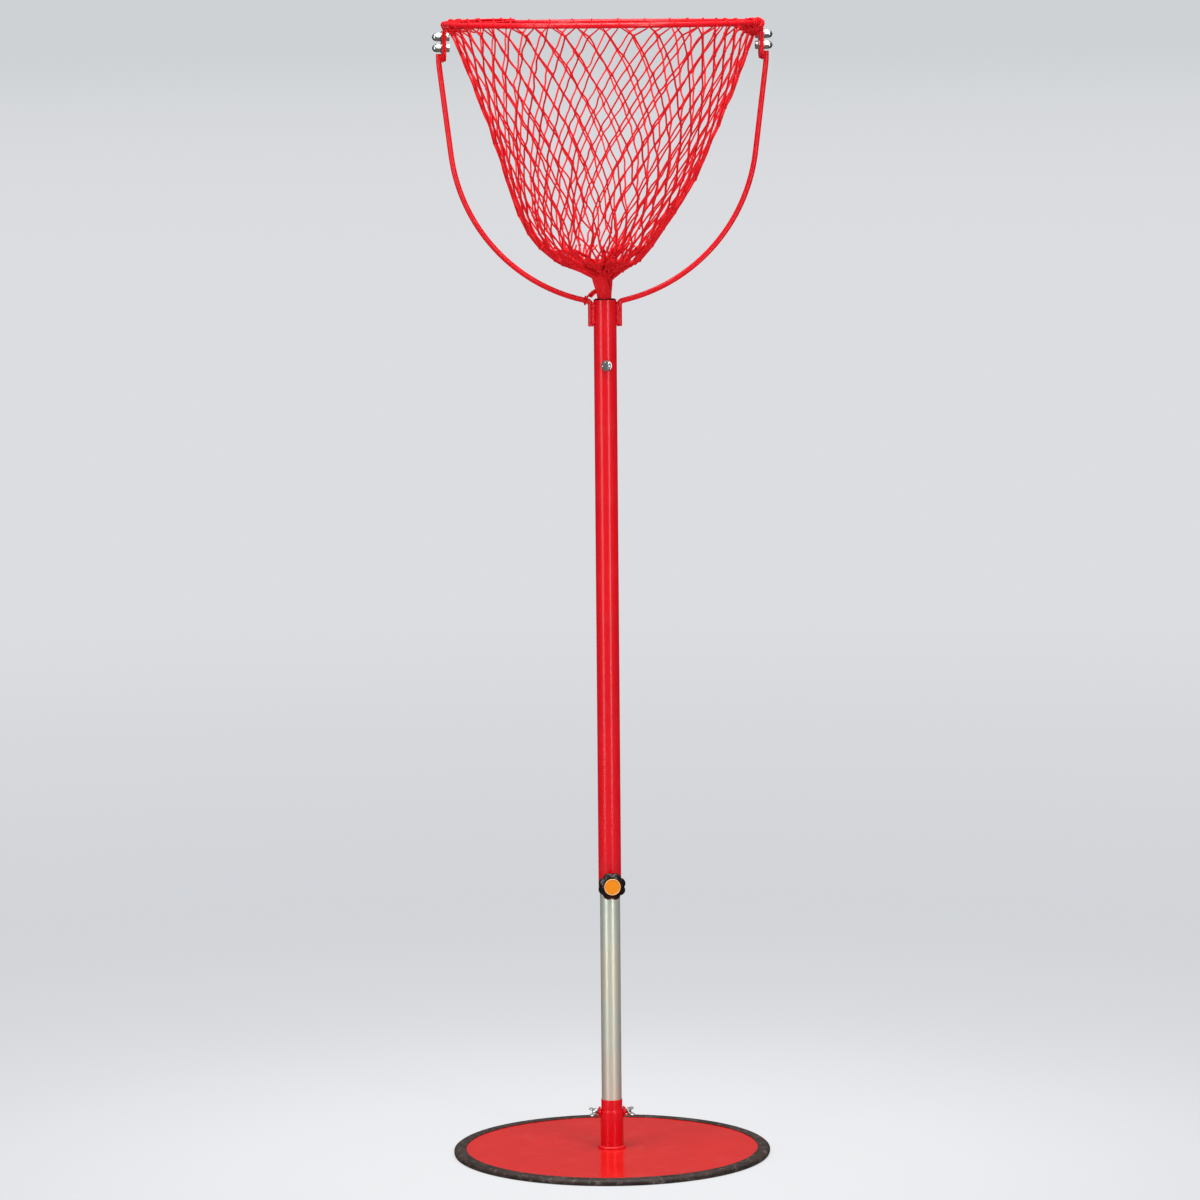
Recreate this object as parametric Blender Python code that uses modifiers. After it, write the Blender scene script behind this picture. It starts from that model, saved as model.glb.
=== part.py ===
"""Ball-toss basket stand: a netted hoop on a two-part telescopic pole with a round floor base.

Metres, +Z up. The origin is on the floor at the centre of the base, under the pole.
The front of the stand, with the clamp knob, faces -Y. The basket's arms lie along X.
"""
import math

import bmesh
import bpy
from mathutils import Matrix, Vector

# Driving dimensions, in metres and degrees.
CLEARANCE = 0.0003            # gap kept between separate pieces that touch

BASE_DIAMETER = 0.505         # over the rubber edge
EDGE_WIDTH = 0.020            # rubber edge seen from above
EDGE_ROUNDING = 0.0030
EDGE_BEVEL = 0.0015
LIP_BEVEL = 0.0010
PLATE_GROOVE_DEPTH = 0.0085   # how far the plate's rim lies inside the rubber edge
PLATE_THICKNESS = 0.006
RUBBER_WALL = 0.0017
PLATE_STEPS = 64

LOWER_TUBE_DIAMETER = 0.0318
UPPER_TUBE_DIAMETER = 0.0360
TUBE_WALL = 0.0016
TUBE_STEPS = 32
LOWER_TUBE_TOP = 0.940
UPPER_TUBE_BOTTOM = 0.424
UPPER_TUBE_TOP = 1.363

SOCKET_DIAMETER = 0.0366
SOCKET_NECK_DIAMETER = 0.0336
SOCKET_SHOULDER = 0.069
SOCKET_TOP = 0.087
SOCKET_NUT_HEIGHT = 0.0034    # thin nuts welded to the socket
SOCKET_TAPER = 0.0030         # height of the shoulder's slope
SOCKET_RIM_BEVEL = 0.0004
WELD_LEG = 0.0045             # weld bead at the foot of the socket
WELD_SAG = 0.4                # how full the bead is, as a share of its leg
WING_BOLT_HEIGHT = 0.066
WING_HUB_LENGTH = 0.0065
WING_HUB_RADIUS = 0.0062
WING_HUB_TIP_RADIUS = 0.0042
WING_GAP = 0.0022             # between the hub and the weld nut
WING_WAIST = [(0.0030, 0.0), (0.0050, 0.0030)]
WING_NOTCH = (0.0028, 0.0062)
WING_THICKNESS = 0.0026
WING_EAR_CENTRE = (0.0090, 0.0078)   # across the bolt's axis, and along it from the hub's start
WING_EAR_RADIUS = 0.0036
WING_TILT = math.radians(20.0)       # ears tipped back from the level

THREAD_RADIUS = 0.00395       # M8 bolts and studs
THREAD_HOLE = 0.0043
NUT_FLATS = 0.013
NUT_HEIGHT = 0.0062
HEAD_HEIGHT = 0.0053
WASHER_RADIUS = 0.0084
WASHER_THICKNESS = 0.0014

CLAMP_HEIGHT = 0.436          # axis of the clamp knob
BOSS_DIAMETER = 0.0165
BOSS_LENGTH = 0.0085
KNOB_LOBES = 8
KNOB_DIAMETER = 0.0445
KNOB_LOBE_DEPTH = 0.0032
KNOB_LOBE_PHASE = math.radians(17.0)
KNOB_THICKNESS = 0.012
KNOB_HUB_DIAMETER = 0.020
KNOB_HUB_LENGTH = 0.004
CAP_DIAMETER = 0.026
CAP_THICKNESS = 0.003
CAP_SINK = 0.0020             # depth of the knob's recess for the cap
CAP_RIM = 0.0020              # width of the cap's raised rim
CAP_BEVEL = 0.0008
STUD_INSERT = 0.012           # how far the stud reaches into the knob
STOP_BOLT_HEIGHT = 1.260
SHANK_BEYOND = 0.004          # thread showing past the stop nut

ROD_DIAMETER = 0.009          # arms and hoop are bent from the same bar
ARM_LEG_BOTTOM = 1.321
ARM_BEND_HEIGHT = 1.3545
ARM_BEND_RADIUS = 0.0070
ARM_START_ANGLE = math.radians(12.0)   # rise of the arm where it leaves the bend
ARM_END_ANGLE = math.radians(83.0)     # rise of the arm below the bracket
ARM_KINK_HEIGHT = 1.735
ARM_TOP = 1.7495

HOOP_RADIUS = 0.247           # centre line of the bar
HOOP_HEIGHT = 1.794
BRACKET_WIDTH = 0.025
BRACKET_THICKNESS = 0.003
BRACKET_CORNER = 0.003
HOOP_PLATE_BOTTOM = 1.7375
ARM_PLATE_BOTTOM = 1.736
ARM_PLATE_TOP = 1.785
BRACKET_BOLT_HEIGHTS = {"upper": 1.7755, "lower": 1.7585}
BRACKET_WASHER_RADIUS = 0.0082
DOME_NUT_LENGTH = 0.0135
DOME_NUT_HEX = 0.0065
DOME_NUT_BORE = 0.0095
DOME_RADIUS = 0.0060
BOLT_IN_DOME = 0.0085         # thread inside the cap nut

NET_RIM_RADIUS = 0.240
NET_CONE_BOTTOM = 1.557
NET_CONE_RADIUS = 0.1505
NET_THICKNESS = 0.003
NET_BOWL_BOTTOM = 1.402
NET_BOWL_POWER = 0.42         # full, rounded bottom
NET_BOWL_STEPS = 8
NET_TAIL_RADIUS = 0.0155      # gathered tail, where it leaves the bowl
NET_TAIL_TIP_RADIUS = 0.0085  # and at its end, inside the tube
NET_TAIL_TIP = 1.352
NET_STEPS = 40
HOLE_STEPS = 16               # sides of bolt shanks and drilled holes
HOOP_STEPS = 60
CORD_RADIUS = 0.0013
LASHING_RADIUS = 0.0076       # outside of the cord wound round the hoop
LASHING_THICKNESS = 0.0022
LASHING_STEP = 6.0            # degrees between the rings of a lashing's sleeve
LASHING_ANGLES = {"left": (120, 163), "right": (-28, -14)}
TIE_BEYOND_BEND = 0.0006      # where the tie goes round the arm, past the bend
TIE_SLACK = 0.0008            # between the tie and the arm
TIE_STEPS = 14
TIE_LEAD = [(-0.0143, 0.0, 1.3790), (-0.0180, 0.0008, 1.3755), (-0.0222, 0.0010, 1.3720),
            (-0.0262, 0.0006, 1.3705)]

# Places worked out from the driving dimensions.
PLATE_UNDERSIDE = RUBBER_WALL + CLEARANCE
PLATE_TOP = PLATE_UNDERSIDE + PLATE_THICKNESS
EDGE_TOP = PLATE_TOP + CLEARANCE + RUBBER_WALL
LIP_RADIUS = BASE_DIAMETER / 2 - EDGE_WIDTH
PLATE_RADIUS = BASE_DIAMETER / 2 - PLATE_GROOVE_DEPTH
SOCKET_BORE = LOWER_TUBE_DIAMETER / 2 + CLEARANCE
SOCKET_FOOT = PLATE_TOP + CLEARANCE
LOWER_BORE = LOWER_TUBE_DIAMETER / 2 - TUBE_WALL
UPPER_BORE = UPPER_TUBE_DIAMETER / 2 - TUBE_WALL
ROD_RADIUS = ROD_DIAMETER / 2
LEG_X = UPPER_TUBE_DIAMETER / 2 + CLEARANCE + ROD_RADIUS
HOOP_PLATE_X = HOOP_RADIUS
ARM_PLATE_X = HOOP_PLATE_X + BRACKET_THICKNESS + CLEARANCE
ROD_TOP_X = ARM_PLATE_X + BRACKET_THICKNESS / 2 + CLEARANCE + ROD_RADIUS
HOOP_UNDERSIDE = HOOP_HEIGHT - ROD_RADIUS
SIDES = {"left": -1, "right": 1}

FORWARD = (math.pi / 2, 0, 0)                              # turns +Z to -Y
OUTWARD = {-1: (0, -math.pi / 2, 0), 1: (0, math.pi / 2, 0)}   # turns +Z to -X or +X


def clear_scene():
    for item in list(bpy.data.objects):
        bpy.data.objects.remove(item, do_unlink=True)


def new_collection(name):
    group = bpy.data.collections.new(name)
    bpy.context.scene.collection.children.link(group)
    return group


def new_material(name, colour, roughness, metallic=0.0):
    material = bpy.data.materials.new(name)
    material.use_nodes = True
    shader = material.node_tree.nodes["Principled BSDF"]
    shader.inputs["Base Color"].default_value = (*colour, 1.0)
    shader.inputs["Roughness"].default_value = roughness
    shader.inputs["Metallic"].default_value = metallic
    return material


clear_scene()
parts = new_collection("ball_toss_basket_stand")
cutters = new_collection("cutters")

PAINT = new_material("red_paint", (0.68, 0.010, 0.018), 0.28)
PLATE_PAINT = new_material("base_plate_paint", (0.66, 0.018, 0.022), 0.22)
RUBBER = new_material("edge_rubber", (0.022, 0.017, 0.015), 0.62)
ZINC = new_material("bright_zinc", (0.78, 0.78, 0.76), 0.25, 1.0)
TUBE_ZINC = new_material("zinc_tube", (0.70, 0.69, 0.60), 0.30, 1.0)
BLACK_PLASTIC = new_material("black_plastic", (0.012, 0.011, 0.011), 0.25)
ORANGE_PLASTIC = new_material("orange_plastic", (0.90, 0.27, 0.015), 0.35)
GREY_PLASTIC = new_material("grey_plastic", (0.10, 0.10, 0.10), 0.55)
NET_CORD = new_material("net_cord", (0.72, 0.012, 0.022), 0.65)


# Shape tools.

def place(piece, material, location=(0, 0, 0), rotation=(0, 0, 0)):
    """Give a piece its material, its place and smooth shading with sharp edges kept."""
    piece.location = location
    piece.rotation_euler = rotation
    piece.data.materials.append(material)
    if piece.type == "MESH":
        piece.data.shade_smooth()
        piece.data.set_sharp_from_angle(angle=math.radians(35))
    return piece


def mesh_piece(name, shape, group):
    mesh = bpy.data.meshes.new(name)
    shape.to_mesh(mesh)
    shape.free()
    piece = bpy.data.objects.new(name, mesh)
    group.objects.link(piece)
    return piece


def turned(name, outline, steps, closed):
    """Turn an outline of (radius, height) points about Z.

    The outline runs down its outer side. A closed outline makes a ring or a tube, and an
    open one starts and ends on the axis.
    """
    shape = bmesh.new()
    points = [shape.verts.new((radius, 0, height)) for radius, height in outline]
    for start, end in zip(points, points[1:]):
        shape.edges.new((start, end))
    if closed:
        shape.edges.new((points[-1], points[0]))
    piece = mesh_piece(name, shape, parts)
    turn = piece.modifiers.new("turn", "SCREW")
    turn.axis = "Z"
    turn.steps = steps
    turn.render_steps = steps
    turn.use_merge_vertices = True
    turn.merge_threshold = 0.00005
    turn.use_smooth_shade = True
    return piece


def ring_outline(inner, outer, bottom, top):
    return [(outer, top), (outer, bottom), (inner, bottom), (inner, top)]


def post(name, radius, bottom, top, segments, group, flat_turn=0.0):
    """A straight round or many-sided post about Z, closed at both ends."""
    shape = bmesh.new()
    bmesh.ops.create_cone(
        shape, cap_ends=True, segments=segments,
        radius1=radius, radius2=radius, depth=top - bottom,
    )
    bmesh.ops.rotate(
        shape, verts=shape.verts, cent=(0, 0, 0),
        matrix=Matrix.Rotation(flat_turn, 3, "Z"),
    )
    bmesh.ops.translate(shape, verts=shape.verts, vec=(0, 0, (top + bottom) / 2))
    return mesh_piece(name, shape, group)


def as_cutter(piece, location=(0, 0, 0), rotation=(0, 0, 0)):
    piece.location = location
    piece.rotation_euler = rotation
    piece.hide_render = True
    piece.display_type = "WIRE"
    return piece


def combine(piece, tool, operation):
    step = piece.modifiers.new(operation.lower(), "BOOLEAN")
    step.operation = operation
    step.solver = "EXACT"
    step.object = tool


def drill(piece, name, radius, half_length, location, rotation):
    """Cut a round hole through a piece, centred at location."""
    bit = post(name, radius, -half_length, half_length, HOLE_STEPS, cutters)
    combine(piece, as_cutter(bit, location, rotation), "DIFFERENCE")


def hex_radius(flats):
    return flats / math.sqrt(3)


def bolt(name, length, location, rotation, head_height=HEAD_HEIGHT):
    """Hexagon bolt: the underside of its head is at z = 0 and its shank runs down."""
    head = post(name, hex_radius(NUT_FLATS), 0, head_height, 6, parts, math.pi / 6)
    shank = post(name + "_shank", THREAD_RADIUS, -length, head_height / 2,
                 HOLE_STEPS, cutters)
    combine(head, as_cutter(shank, location, rotation), "UNION")
    return place(head, ZINC, location, rotation)


def nut(name, location, rotation, height=NUT_HEIGHT, material=ZINC):
    body = post(name, hex_radius(NUT_FLATS), 0, height, 6, parts, math.pi / 6)
    bit = post(name + "_bore", THREAD_HOLE, -height, 2 * height, HOLE_STEPS, cutters)
    combine(body, as_cutter(bit, location, rotation), "DIFFERENCE")
    return place(body, material, location, rotation)


def dome_nut(name, location, rotation):
    """Cap nut: a hexagon with a half-round dome over a blind hole."""
    body = post(name, hex_radius(NUT_FLATS), 0, DOME_NUT_HEX, 6, parts, math.pi / 6)
    shape = bmesh.new()
    bmesh.ops.create_uvsphere(shape, u_segments=16, v_segments=8, radius=DOME_RADIUS)
    bmesh.ops.translate(shape, verts=shape.verts, vec=(0, 0, DOME_NUT_LENGTH - DOME_RADIUS))
    dome = mesh_piece(name + "_dome", shape, cutters)
    combine(body, as_cutter(dome, location, rotation), "UNION")
    bit = post(name + "_bore", THREAD_HOLE, -DOME_NUT_BORE, DOME_NUT_BORE, HOLE_STEPS, cutters)
    combine(body, as_cutter(bit, location, rotation), "DIFFERENCE")
    return place(body, ZINC, location, rotation)


def washer(name, location, rotation, outer=WASHER_RADIUS):
    ring = turned(name, ring_outline(THREAD_HOLE, outer, 0, WASHER_THICKNESS), 20, True)
    return place(ring, ZINC, location, rotation)


def arc(centre, radius, start, end, count):
    """Points on an arc in a plane, as (u, v), from the start angle to the end angle."""
    return [
        (centre[0] + radius * math.cos(start + (end - start) * i / count),
         centre[1] + radius * math.sin(start + (end - start) * i / count))
        for i in range(count + 1)
    ]


def rod(name, points, radius, sides, material):
    """A round bar or cord along a route, with closed ends."""
    curve = bpy.data.curves.new(name, "CURVE")
    curve.dimensions = "3D"
    curve.bevel_depth = radius
    curve.bevel_resolution = sides
    curve.use_fill_caps = True
    spline = curve.splines.new("POLY")
    spline.points.add(len(points) - 1)
    for target, point in zip(spline.points, points):
        target.co = (*point, 1.0)
    piece = bpy.data.objects.new(name, curve)
    parts.objects.link(piece)
    return place(piece, material)


def flat_curve(name, outlines, thickness):
    """A flat sheet cut to an outline with holes, centred on its own XY plane."""
    curve = bpy.data.curves.new(name, "CURVE")
    curve.dimensions = "2D"
    curve.fill_mode = "BOTH"
    curve.extrude = thickness / 2
    for outline in outlines:
        spline = curve.splines.new("POLY")
        spline.points.add(len(outline) - 1)
        spline.use_cyclic_u = True
        for target, (u, v) in zip(spline.points, outline):
            target.co = (u, v, 0.0, 1.0)
    piece = bpy.data.objects.new(name, curve)
    parts.objects.link(piece)
    return piece


def made_mesh(source, name, group):
    """Turn a curve object into a mesh object in the same place, with its caps welded."""
    bpy.context.view_layer.update()
    graph = bpy.context.evaluated_depsgraph_get()
    mesh = bpy.data.meshes.new_from_object(source.evaluated_get(graph))
    shape = bmesh.new()
    shape.from_mesh(mesh)
    bmesh.ops.remove_doubles(shape, verts=shape.verts, dist=0.00001)
    shape.to_mesh(mesh)
    shape.free()
    piece = bpy.data.objects.new(name, mesh)
    group.objects.link(piece)
    piece.matrix_world = source.matrix_world
    bpy.data.objects.remove(source, do_unlink=True)
    return piece


# Base: plate, rubber edge, socket and its two weld nuts.

def build_base():
    plate = post("base_plate", PLATE_RADIUS, PLATE_UNDERSIDE, PLATE_TOP, PLATE_STEPS, parts)
    place(plate, PLATE_PAINT)

    outer = BASE_DIAMETER / 2
    groove = PLATE_RADIUS + CLEARANCE
    edge = turned("edge_trim", [
        (outer - EDGE_ROUNDING, EDGE_TOP),
        (outer, EDGE_TOP - EDGE_ROUNDING),
        (outer, EDGE_BEVEL),
        (outer - EDGE_BEVEL, 0.0),
        (LIP_RADIUS, 0.0),
        (LIP_RADIUS, RUBBER_WALL),
        (groove, RUBBER_WALL),
        (groove, PLATE_TOP + CLEARANCE),
        (LIP_RADIUS, PLATE_TOP + CLEARANCE),
        (LIP_RADIUS, EDGE_TOP - LIP_BEVEL),
        (LIP_RADIUS + LIP_BEVEL, EDGE_TOP),
    ], PLATE_STEPS, True)
    place(edge, RUBBER)

    body = SOCKET_DIAMETER / 2
    neck = SOCKET_NECK_DIAMETER / 2
    socket = turned("base_socket", [
        (neck - SOCKET_RIM_BEVEL, SOCKET_TOP),
        (neck, SOCKET_TOP - SOCKET_RIM_BEVEL),
        (neck, SOCKET_SHOULDER + SOCKET_TAPER / 2),
        (body, SOCKET_SHOULDER - SOCKET_TAPER / 2),
        (body, SOCKET_FOOT + WELD_LEG),
        (body + WELD_SAG * WELD_LEG, SOCKET_FOOT + WELD_SAG * WELD_LEG),
        (body + WELD_LEG, SOCKET_FOOT),
        (SOCKET_BORE, SOCKET_FOOT),
        (SOCKET_BORE, SOCKET_TOP),
    ], TUBE_STEPS, True)
    drill(socket, "wing_bolt_hole", THREAD_HOLE, SOCKET_DIAMETER,
          (0, 0, WING_BOLT_HEIGHT), OUTWARD[1])
    place(socket, PAINT)

    for side, sign in SIDES.items():
        nut("socket_nut_" + side, (sign * (body + CLEARANCE), 0, WING_BOLT_HEIGHT), OUTWARD[sign],
            SOCKET_NUT_HEIGHT, PAINT)


def wing_outline():
    """Two rounded ears on a narrow waist, seen square to their plane."""
    ear = arc(WING_EAR_CENTRE, WING_EAR_RADIUS, math.radians(-20), math.radians(160), 8)
    right = WING_WAIST + ear + [WING_NOTCH]
    left = [(-u, v) for u, v in reversed(right)]
    return right + left


def build_wing_bolt(side, sign):
    """Wing bolt along X: a stud, a tapered hub and two ears, as one casting."""
    hub_start = SOCKET_DIAMETER / 2 + SOCKET_NUT_HEIGHT + 2 * CLEARANCE + WING_GAP
    tip = LOWER_TUBE_DIAMETER / 2 + CLEARANCE
    location = (sign * hub_start, 0, WING_BOLT_HEIGHT)
    name = "wing_bolt_" + side
    hub = turned(name, [
        (0.0, WING_HUB_LENGTH),
        (WING_HUB_TIP_RADIUS, WING_HUB_LENGTH),
        (WING_HUB_RADIUS, 0.0),
        (THREAD_RADIUS, 0.0),
        (THREAD_RADIUS, tip - hub_start),
        (0.0, tip - hub_start),
    ], HOLE_STEPS, False)
    flat = flat_curve(name + "_ears", [wing_outline()], WING_THICKNESS)
    ears = made_mesh(flat, name + "_ears", cutters)
    # The ears stand in the plane of the bolt's axis, tipped back from the level by a fixed turn.
    turn = (math.pi / 2, 0, math.pi / 2 + sign * WING_TILT)
    ears.parent = hub
    ears.rotation_euler = turn
    ears.location = (0, 0, 2 * CLEARANCE)
    ears.hide_render = True
    ears.display_type = "WIRE"
    combine(hub, ears, "UNION")
    place(hub, ZINC, location, OUTWARD[sign])


# Lower pole: plated tube with a plug at its foot and a guide bush at its top.

def build_lower_pole():
    plug_bottom = PLATE_TOP + CLEARANCE
    flange = 0.003
    plug_depth = 0.014
    plug_bevel = 0.002
    bush_depth = 0.018
    bush_wall = 0.003
    tube_bottom = plug_bottom + flange + CLEARANCE
    spigot = LOWER_BORE - CLEARANCE
    radius = LOWER_TUBE_DIAMETER / 2

    tube = turned("lower_tube", ring_outline(LOWER_BORE, radius, tube_bottom, LOWER_TUBE_TOP),
                  TUBE_STEPS, True)
    place(tube, TUBE_ZINC)

    plug = turned("foot_plug", [
        (0.0, tube_bottom + plug_depth),
        (spigot - plug_bevel / 2, tube_bottom + plug_depth),
        (spigot, tube_bottom + plug_depth - plug_bevel),
        (spigot, tube_bottom - CLEARANCE),
        (radius, tube_bottom - CLEARANCE),
        (radius, plug_bottom),
        (0.0, plug_bottom),
    ], TUBE_STEPS, False)
    place(plug, GREY_PLASTIC)

    bush_face = LOWER_TUBE_TOP + CLEARANCE
    bush = turned("guide_bush", [
        (UPPER_BORE - CLEARANCE, bush_face + flange),
        (UPPER_BORE - CLEARANCE, bush_face),
        (spigot, bush_face),
        (spigot, bush_face - bush_depth),
        (spigot - bush_wall, bush_face - bush_depth),
        (spigot - bush_wall, bush_face + flange),
    ], TUBE_STEPS, True)
    place(bush, GREY_PLASTIC)


# Upper pole: painted tube with the clamp boss and the stop bolt.

def build_upper_tube():
    radius = UPPER_TUBE_DIAMETER / 2
    tube = turned("upper_tube", ring_outline(UPPER_BORE, radius, UPPER_TUBE_BOTTOM, UPPER_TUBE_TOP),
                  TUBE_STEPS, True)
    drill(tube, "clamp_hole", THREAD_HOLE, radius / 2, (0, -radius, CLAMP_HEIGHT), FORWARD)
    drill(tube, "stop_bolt_hole", THREAD_HOLE, 2 * radius, (0, 0, STOP_BOLT_HEIGHT), FORWARD)
    place(tube, PAINT)

    face = radius + CLEARANCE
    boss = turned("clamp_boss", ring_outline(THREAD_HOLE, BOSS_DIAMETER / 2, 0, BOSS_LENGTH),
                  HOLE_STEPS, True)
    place(boss, PAINT, (0, -face, CLAMP_HEIGHT), FORWARD)

    washer("stop_washer_front", (0, -face, STOP_BOLT_HEIGHT), FORWARD)
    head_y = -(face + WASHER_THICKNESS + CLEARANCE)
    backward = (-math.pi / 2, 0, 0)
    washer("stop_washer_rear", (0, face, STOP_BOLT_HEIGHT), backward)
    nut("stop_nut", (0, face + WASHER_THICKNESS + CLEARANCE, STOP_BOLT_HEIGHT), backward)
    length = -head_y + face + NUT_HEIGHT + SHANK_BEYOND
    bolt("stop_bolt", length, (0, head_y, STOP_BOLT_HEIGHT), FORWARD)


def build_clamp():
    """Clamp washer, lobed knob, its coloured cap and the stud moulded into it."""
    boss_face = UPPER_TUBE_DIAMETER / 2 + CLEARANCE + BOSS_LENGTH
    washer_y = boss_face + CLEARANCE
    back_y = washer_y + WASHER_THICKNESS + CLEARANCE
    washer("clamp_washer", (0, -washer_y, CLAMP_HEIGHT), FORWARD)

    lobe_base = KNOB_DIAMETER / 2 - KNOB_LOBE_DEPTH / 2
    count = KNOB_LOBES * 6
    outline = []
    for i in range(count):
        angle = 2 * math.pi * i / count
        reach = lobe_base + KNOB_LOBE_DEPTH / 2 * math.cos(KNOB_LOBES * (angle - KNOB_LOBE_PHASE))
        outline.append((reach * math.cos(angle), reach * math.sin(angle)))
    lobes = flat_curve("knob_lobes", [outline], KNOB_THICKNESS)
    lobes.location = (0, 0, KNOB_HUB_LENGTH + KNOB_THICKNESS / 2)
    knob = made_mesh(lobes, "clamp_knob", parts)
    knob.data.transform(knob.matrix_world)
    knob_place = (0, -back_y, CLAMP_HEIGHT)
    overlap = 0.002
    hub = post("knob_hub", KNOB_HUB_DIAMETER / 2, 0, KNOB_HUB_LENGTH + overlap, 24, cutters)
    combine(knob, as_cutter(hub, knob_place, FORWARD), "UNION")
    top = KNOB_HUB_LENGTH + KNOB_THICKNESS
    recess = post("cap_recess", CAP_DIAMETER / 2 + CLEARANCE, top - CAP_SINK, top + overlap,
                  TUBE_STEPS, cutters)
    combine(knob, as_cutter(recess, knob_place, FORWARD), "DIFFERENCE")
    bit = post("stud_hole", THREAD_HOLE, -overlap, STUD_INSERT + CLEARANCE, HOLE_STEPS, cutters)
    combine(knob, as_cutter(bit, knob_place, FORWARD), "DIFFERENCE")
    place(knob, BLACK_PLASTIC, knob_place, FORWARD)

    cap_back = top - CAP_SINK + CLEARANCE
    cap_face = cap_back + CAP_THICKNESS
    cap_radius = CAP_DIAMETER / 2
    cap = turned("knob_cap", [
        (0.0, cap_face - CAP_BEVEL),
        (cap_radius - CAP_RIM - CAP_BEVEL, cap_face - CAP_BEVEL),
        (cap_radius - CAP_RIM, cap_face),
        (cap_radius - CAP_BEVEL, cap_face),
        (cap_radius, cap_face - CAP_BEVEL),
        (cap_radius, cap_back),
        (0.0, cap_back),
    ], TUBE_STEPS, False)
    place(cap, ORANGE_PLASTIC, knob_place, FORWARD)

    tip = -(back_y - LOWER_TUBE_DIAMETER / 2 - CLEARANCE)
    stud = post("clamp_stud", THREAD_RADIUS, tip, STUD_INSERT, HOLE_STEPS, parts)
    place(stud, ZINC, knob_place, FORWARD)


# Yoke: two bent arms that carry the hoop.

def arm_route(sign):
    """Up the pole's side, round a tight bend, out along one large arc and up to the bracket."""
    bend_turn = math.pi / 2 - ARM_START_ANGLE
    bend_centre = (LEG_X + ARM_BEND_RADIUS, ARM_BEND_HEIGHT)
    bend = arc(bend_centre, ARM_BEND_RADIUS, math.pi, math.pi - bend_turn, 6)
    start_x, start_z = bend[-1]

    sine = math.sin(ARM_END_ANGLE) - math.sin(ARM_START_ANGLE)
    cosine = math.cos(ARM_START_ANGLE) - math.cos(ARM_END_ANGLE)
    lean = 1 / math.tan(ARM_END_ANGLE)
    reach = ROD_TOP_X - start_x - (ARM_KINK_HEIGHT - start_z) * lean
    big_radius = reach / (sine - cosine * lean)
    big_centre = (start_x - big_radius * math.sin(ARM_START_ANGLE),
                  start_z + big_radius * math.cos(ARM_START_ANGLE))
    sweep = arc(big_centre, big_radius,
                ARM_START_ANGLE - math.pi / 2, ARM_END_ANGLE - math.pi / 2, 18)

    plane = [(LEG_X, ARM_LEG_BOTTOM)] + bend + sweep[1:]
    plane += [(ROD_TOP_X, ARM_KINK_HEIGHT), (ROD_TOP_X, ARM_TOP)]
    return [(sign * x, 0, z) for x, z in plane]


def bracket_plate(name, x, bottom, top, corner, material):
    """A flat bracket plate facing X, with two bolt holes, a round lower end and top corners."""
    half = BRACKET_WIDTH / 2
    outline = arc((half - corner, top - corner), corner, math.pi / 2, 0, 3)
    outline += arc((0, bottom + half), half, 0, -math.pi, 12)
    outline += arc((-half + corner, top - corner), corner, math.pi, math.pi / 2, 3)
    last = HOLE_STEPS - 1
    holes = [arc((0, z), THREAD_HOLE, 0, 2 * math.pi * last / HOLE_STEPS, last)
             for z in BRACKET_BOLT_HEIGHTS.values()]
    plate = flat_curve(name, [outline] + holes, BRACKET_THICKNESS)
    return place(plate, material, (x, 0, 0), (math.pi / 2, 0, math.pi / 2))


def build_yoke():
    for side, sign in SIDES.items():
        rod("yoke_arm_" + side, arm_route(sign), ROD_RADIUS, 3, PAINT)
        bracket_plate("arm_plate_" + side, sign * ARM_PLATE_X,
                      ARM_PLATE_BOTTOM, ARM_PLATE_TOP, BRACKET_CORNER, PAINT)
        bracket_plate("hoop_plate_" + side, sign * HOOP_PLATE_X,
                      HOOP_PLATE_BOTTOM, HOOP_UNDERSIDE - CLEARANCE, BRACKET_CORNER / 3, PAINT)
        inner = HOOP_PLATE_X - BRACKET_THICKNESS / 2 - CLEARANCE
        outer = ARM_PLATE_X + BRACKET_THICKNESS / 2 + CLEARANCE
        for level, height in BRACKET_BOLT_HEIGHTS.items():
            tag = side + "_" + level
            shank = outer - inner + WASHER_THICKNESS + BOLT_IN_DOME
            bolt("bracket_bolt_" + tag, shank, (sign * inner, 0, height), OUTWARD[-sign])
            washer("bracket_washer_" + tag, (sign * outer, 0, height), OUTWARD[sign],
                   BRACKET_WASHER_RADIUS)
            nut_x = outer + WASHER_THICKNESS + CLEARANCE
            dome_nut("bracket_nut_" + tag, (sign * nut_x, 0, height), OUTWARD[sign])


# Hoop, net bag and the cords that bind the net to the hoop and to the arm.

def build_hoop():
    bpy.ops.mesh.primitive_torus_add(
        major_radius=HOOP_RADIUS, minor_radius=ROD_RADIUS,
        major_segments=HOOP_STEPS, minor_segments=10, location=(0, 0, 0),
    )
    hoop = bpy.context.object
    hoop.name = "hoop_ring"
    for group in list(hoop.users_collection):
        group.objects.unlink(hoop)
    parts.objects.link(hoop)
    place(hoop, PAINT, (0, 0, HOOP_HEIGHT))


def net_outline():
    """Outside of the hanging net: a cone, a bowl whose radius falls as a power of its height, a tail."""
    points = [(NET_RIM_RADIUS, HOOP_UNDERSIDE - 2 * CLEARANCE), (NET_CONE_RADIUS, NET_CONE_BOTTOM)]
    depth = NET_CONE_BOTTOM - NET_BOWL_BOTTOM
    for i in range(1, NET_BOWL_STEPS):
        share = (1 - i / NET_BOWL_STEPS) ** 2
        points.append((NET_CONE_RADIUS * share ** NET_BOWL_POWER, NET_BOWL_BOTTOM + depth * share))
    points.append((NET_TAIL_RADIUS, NET_BOWL_BOTTOM))
    return points


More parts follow.
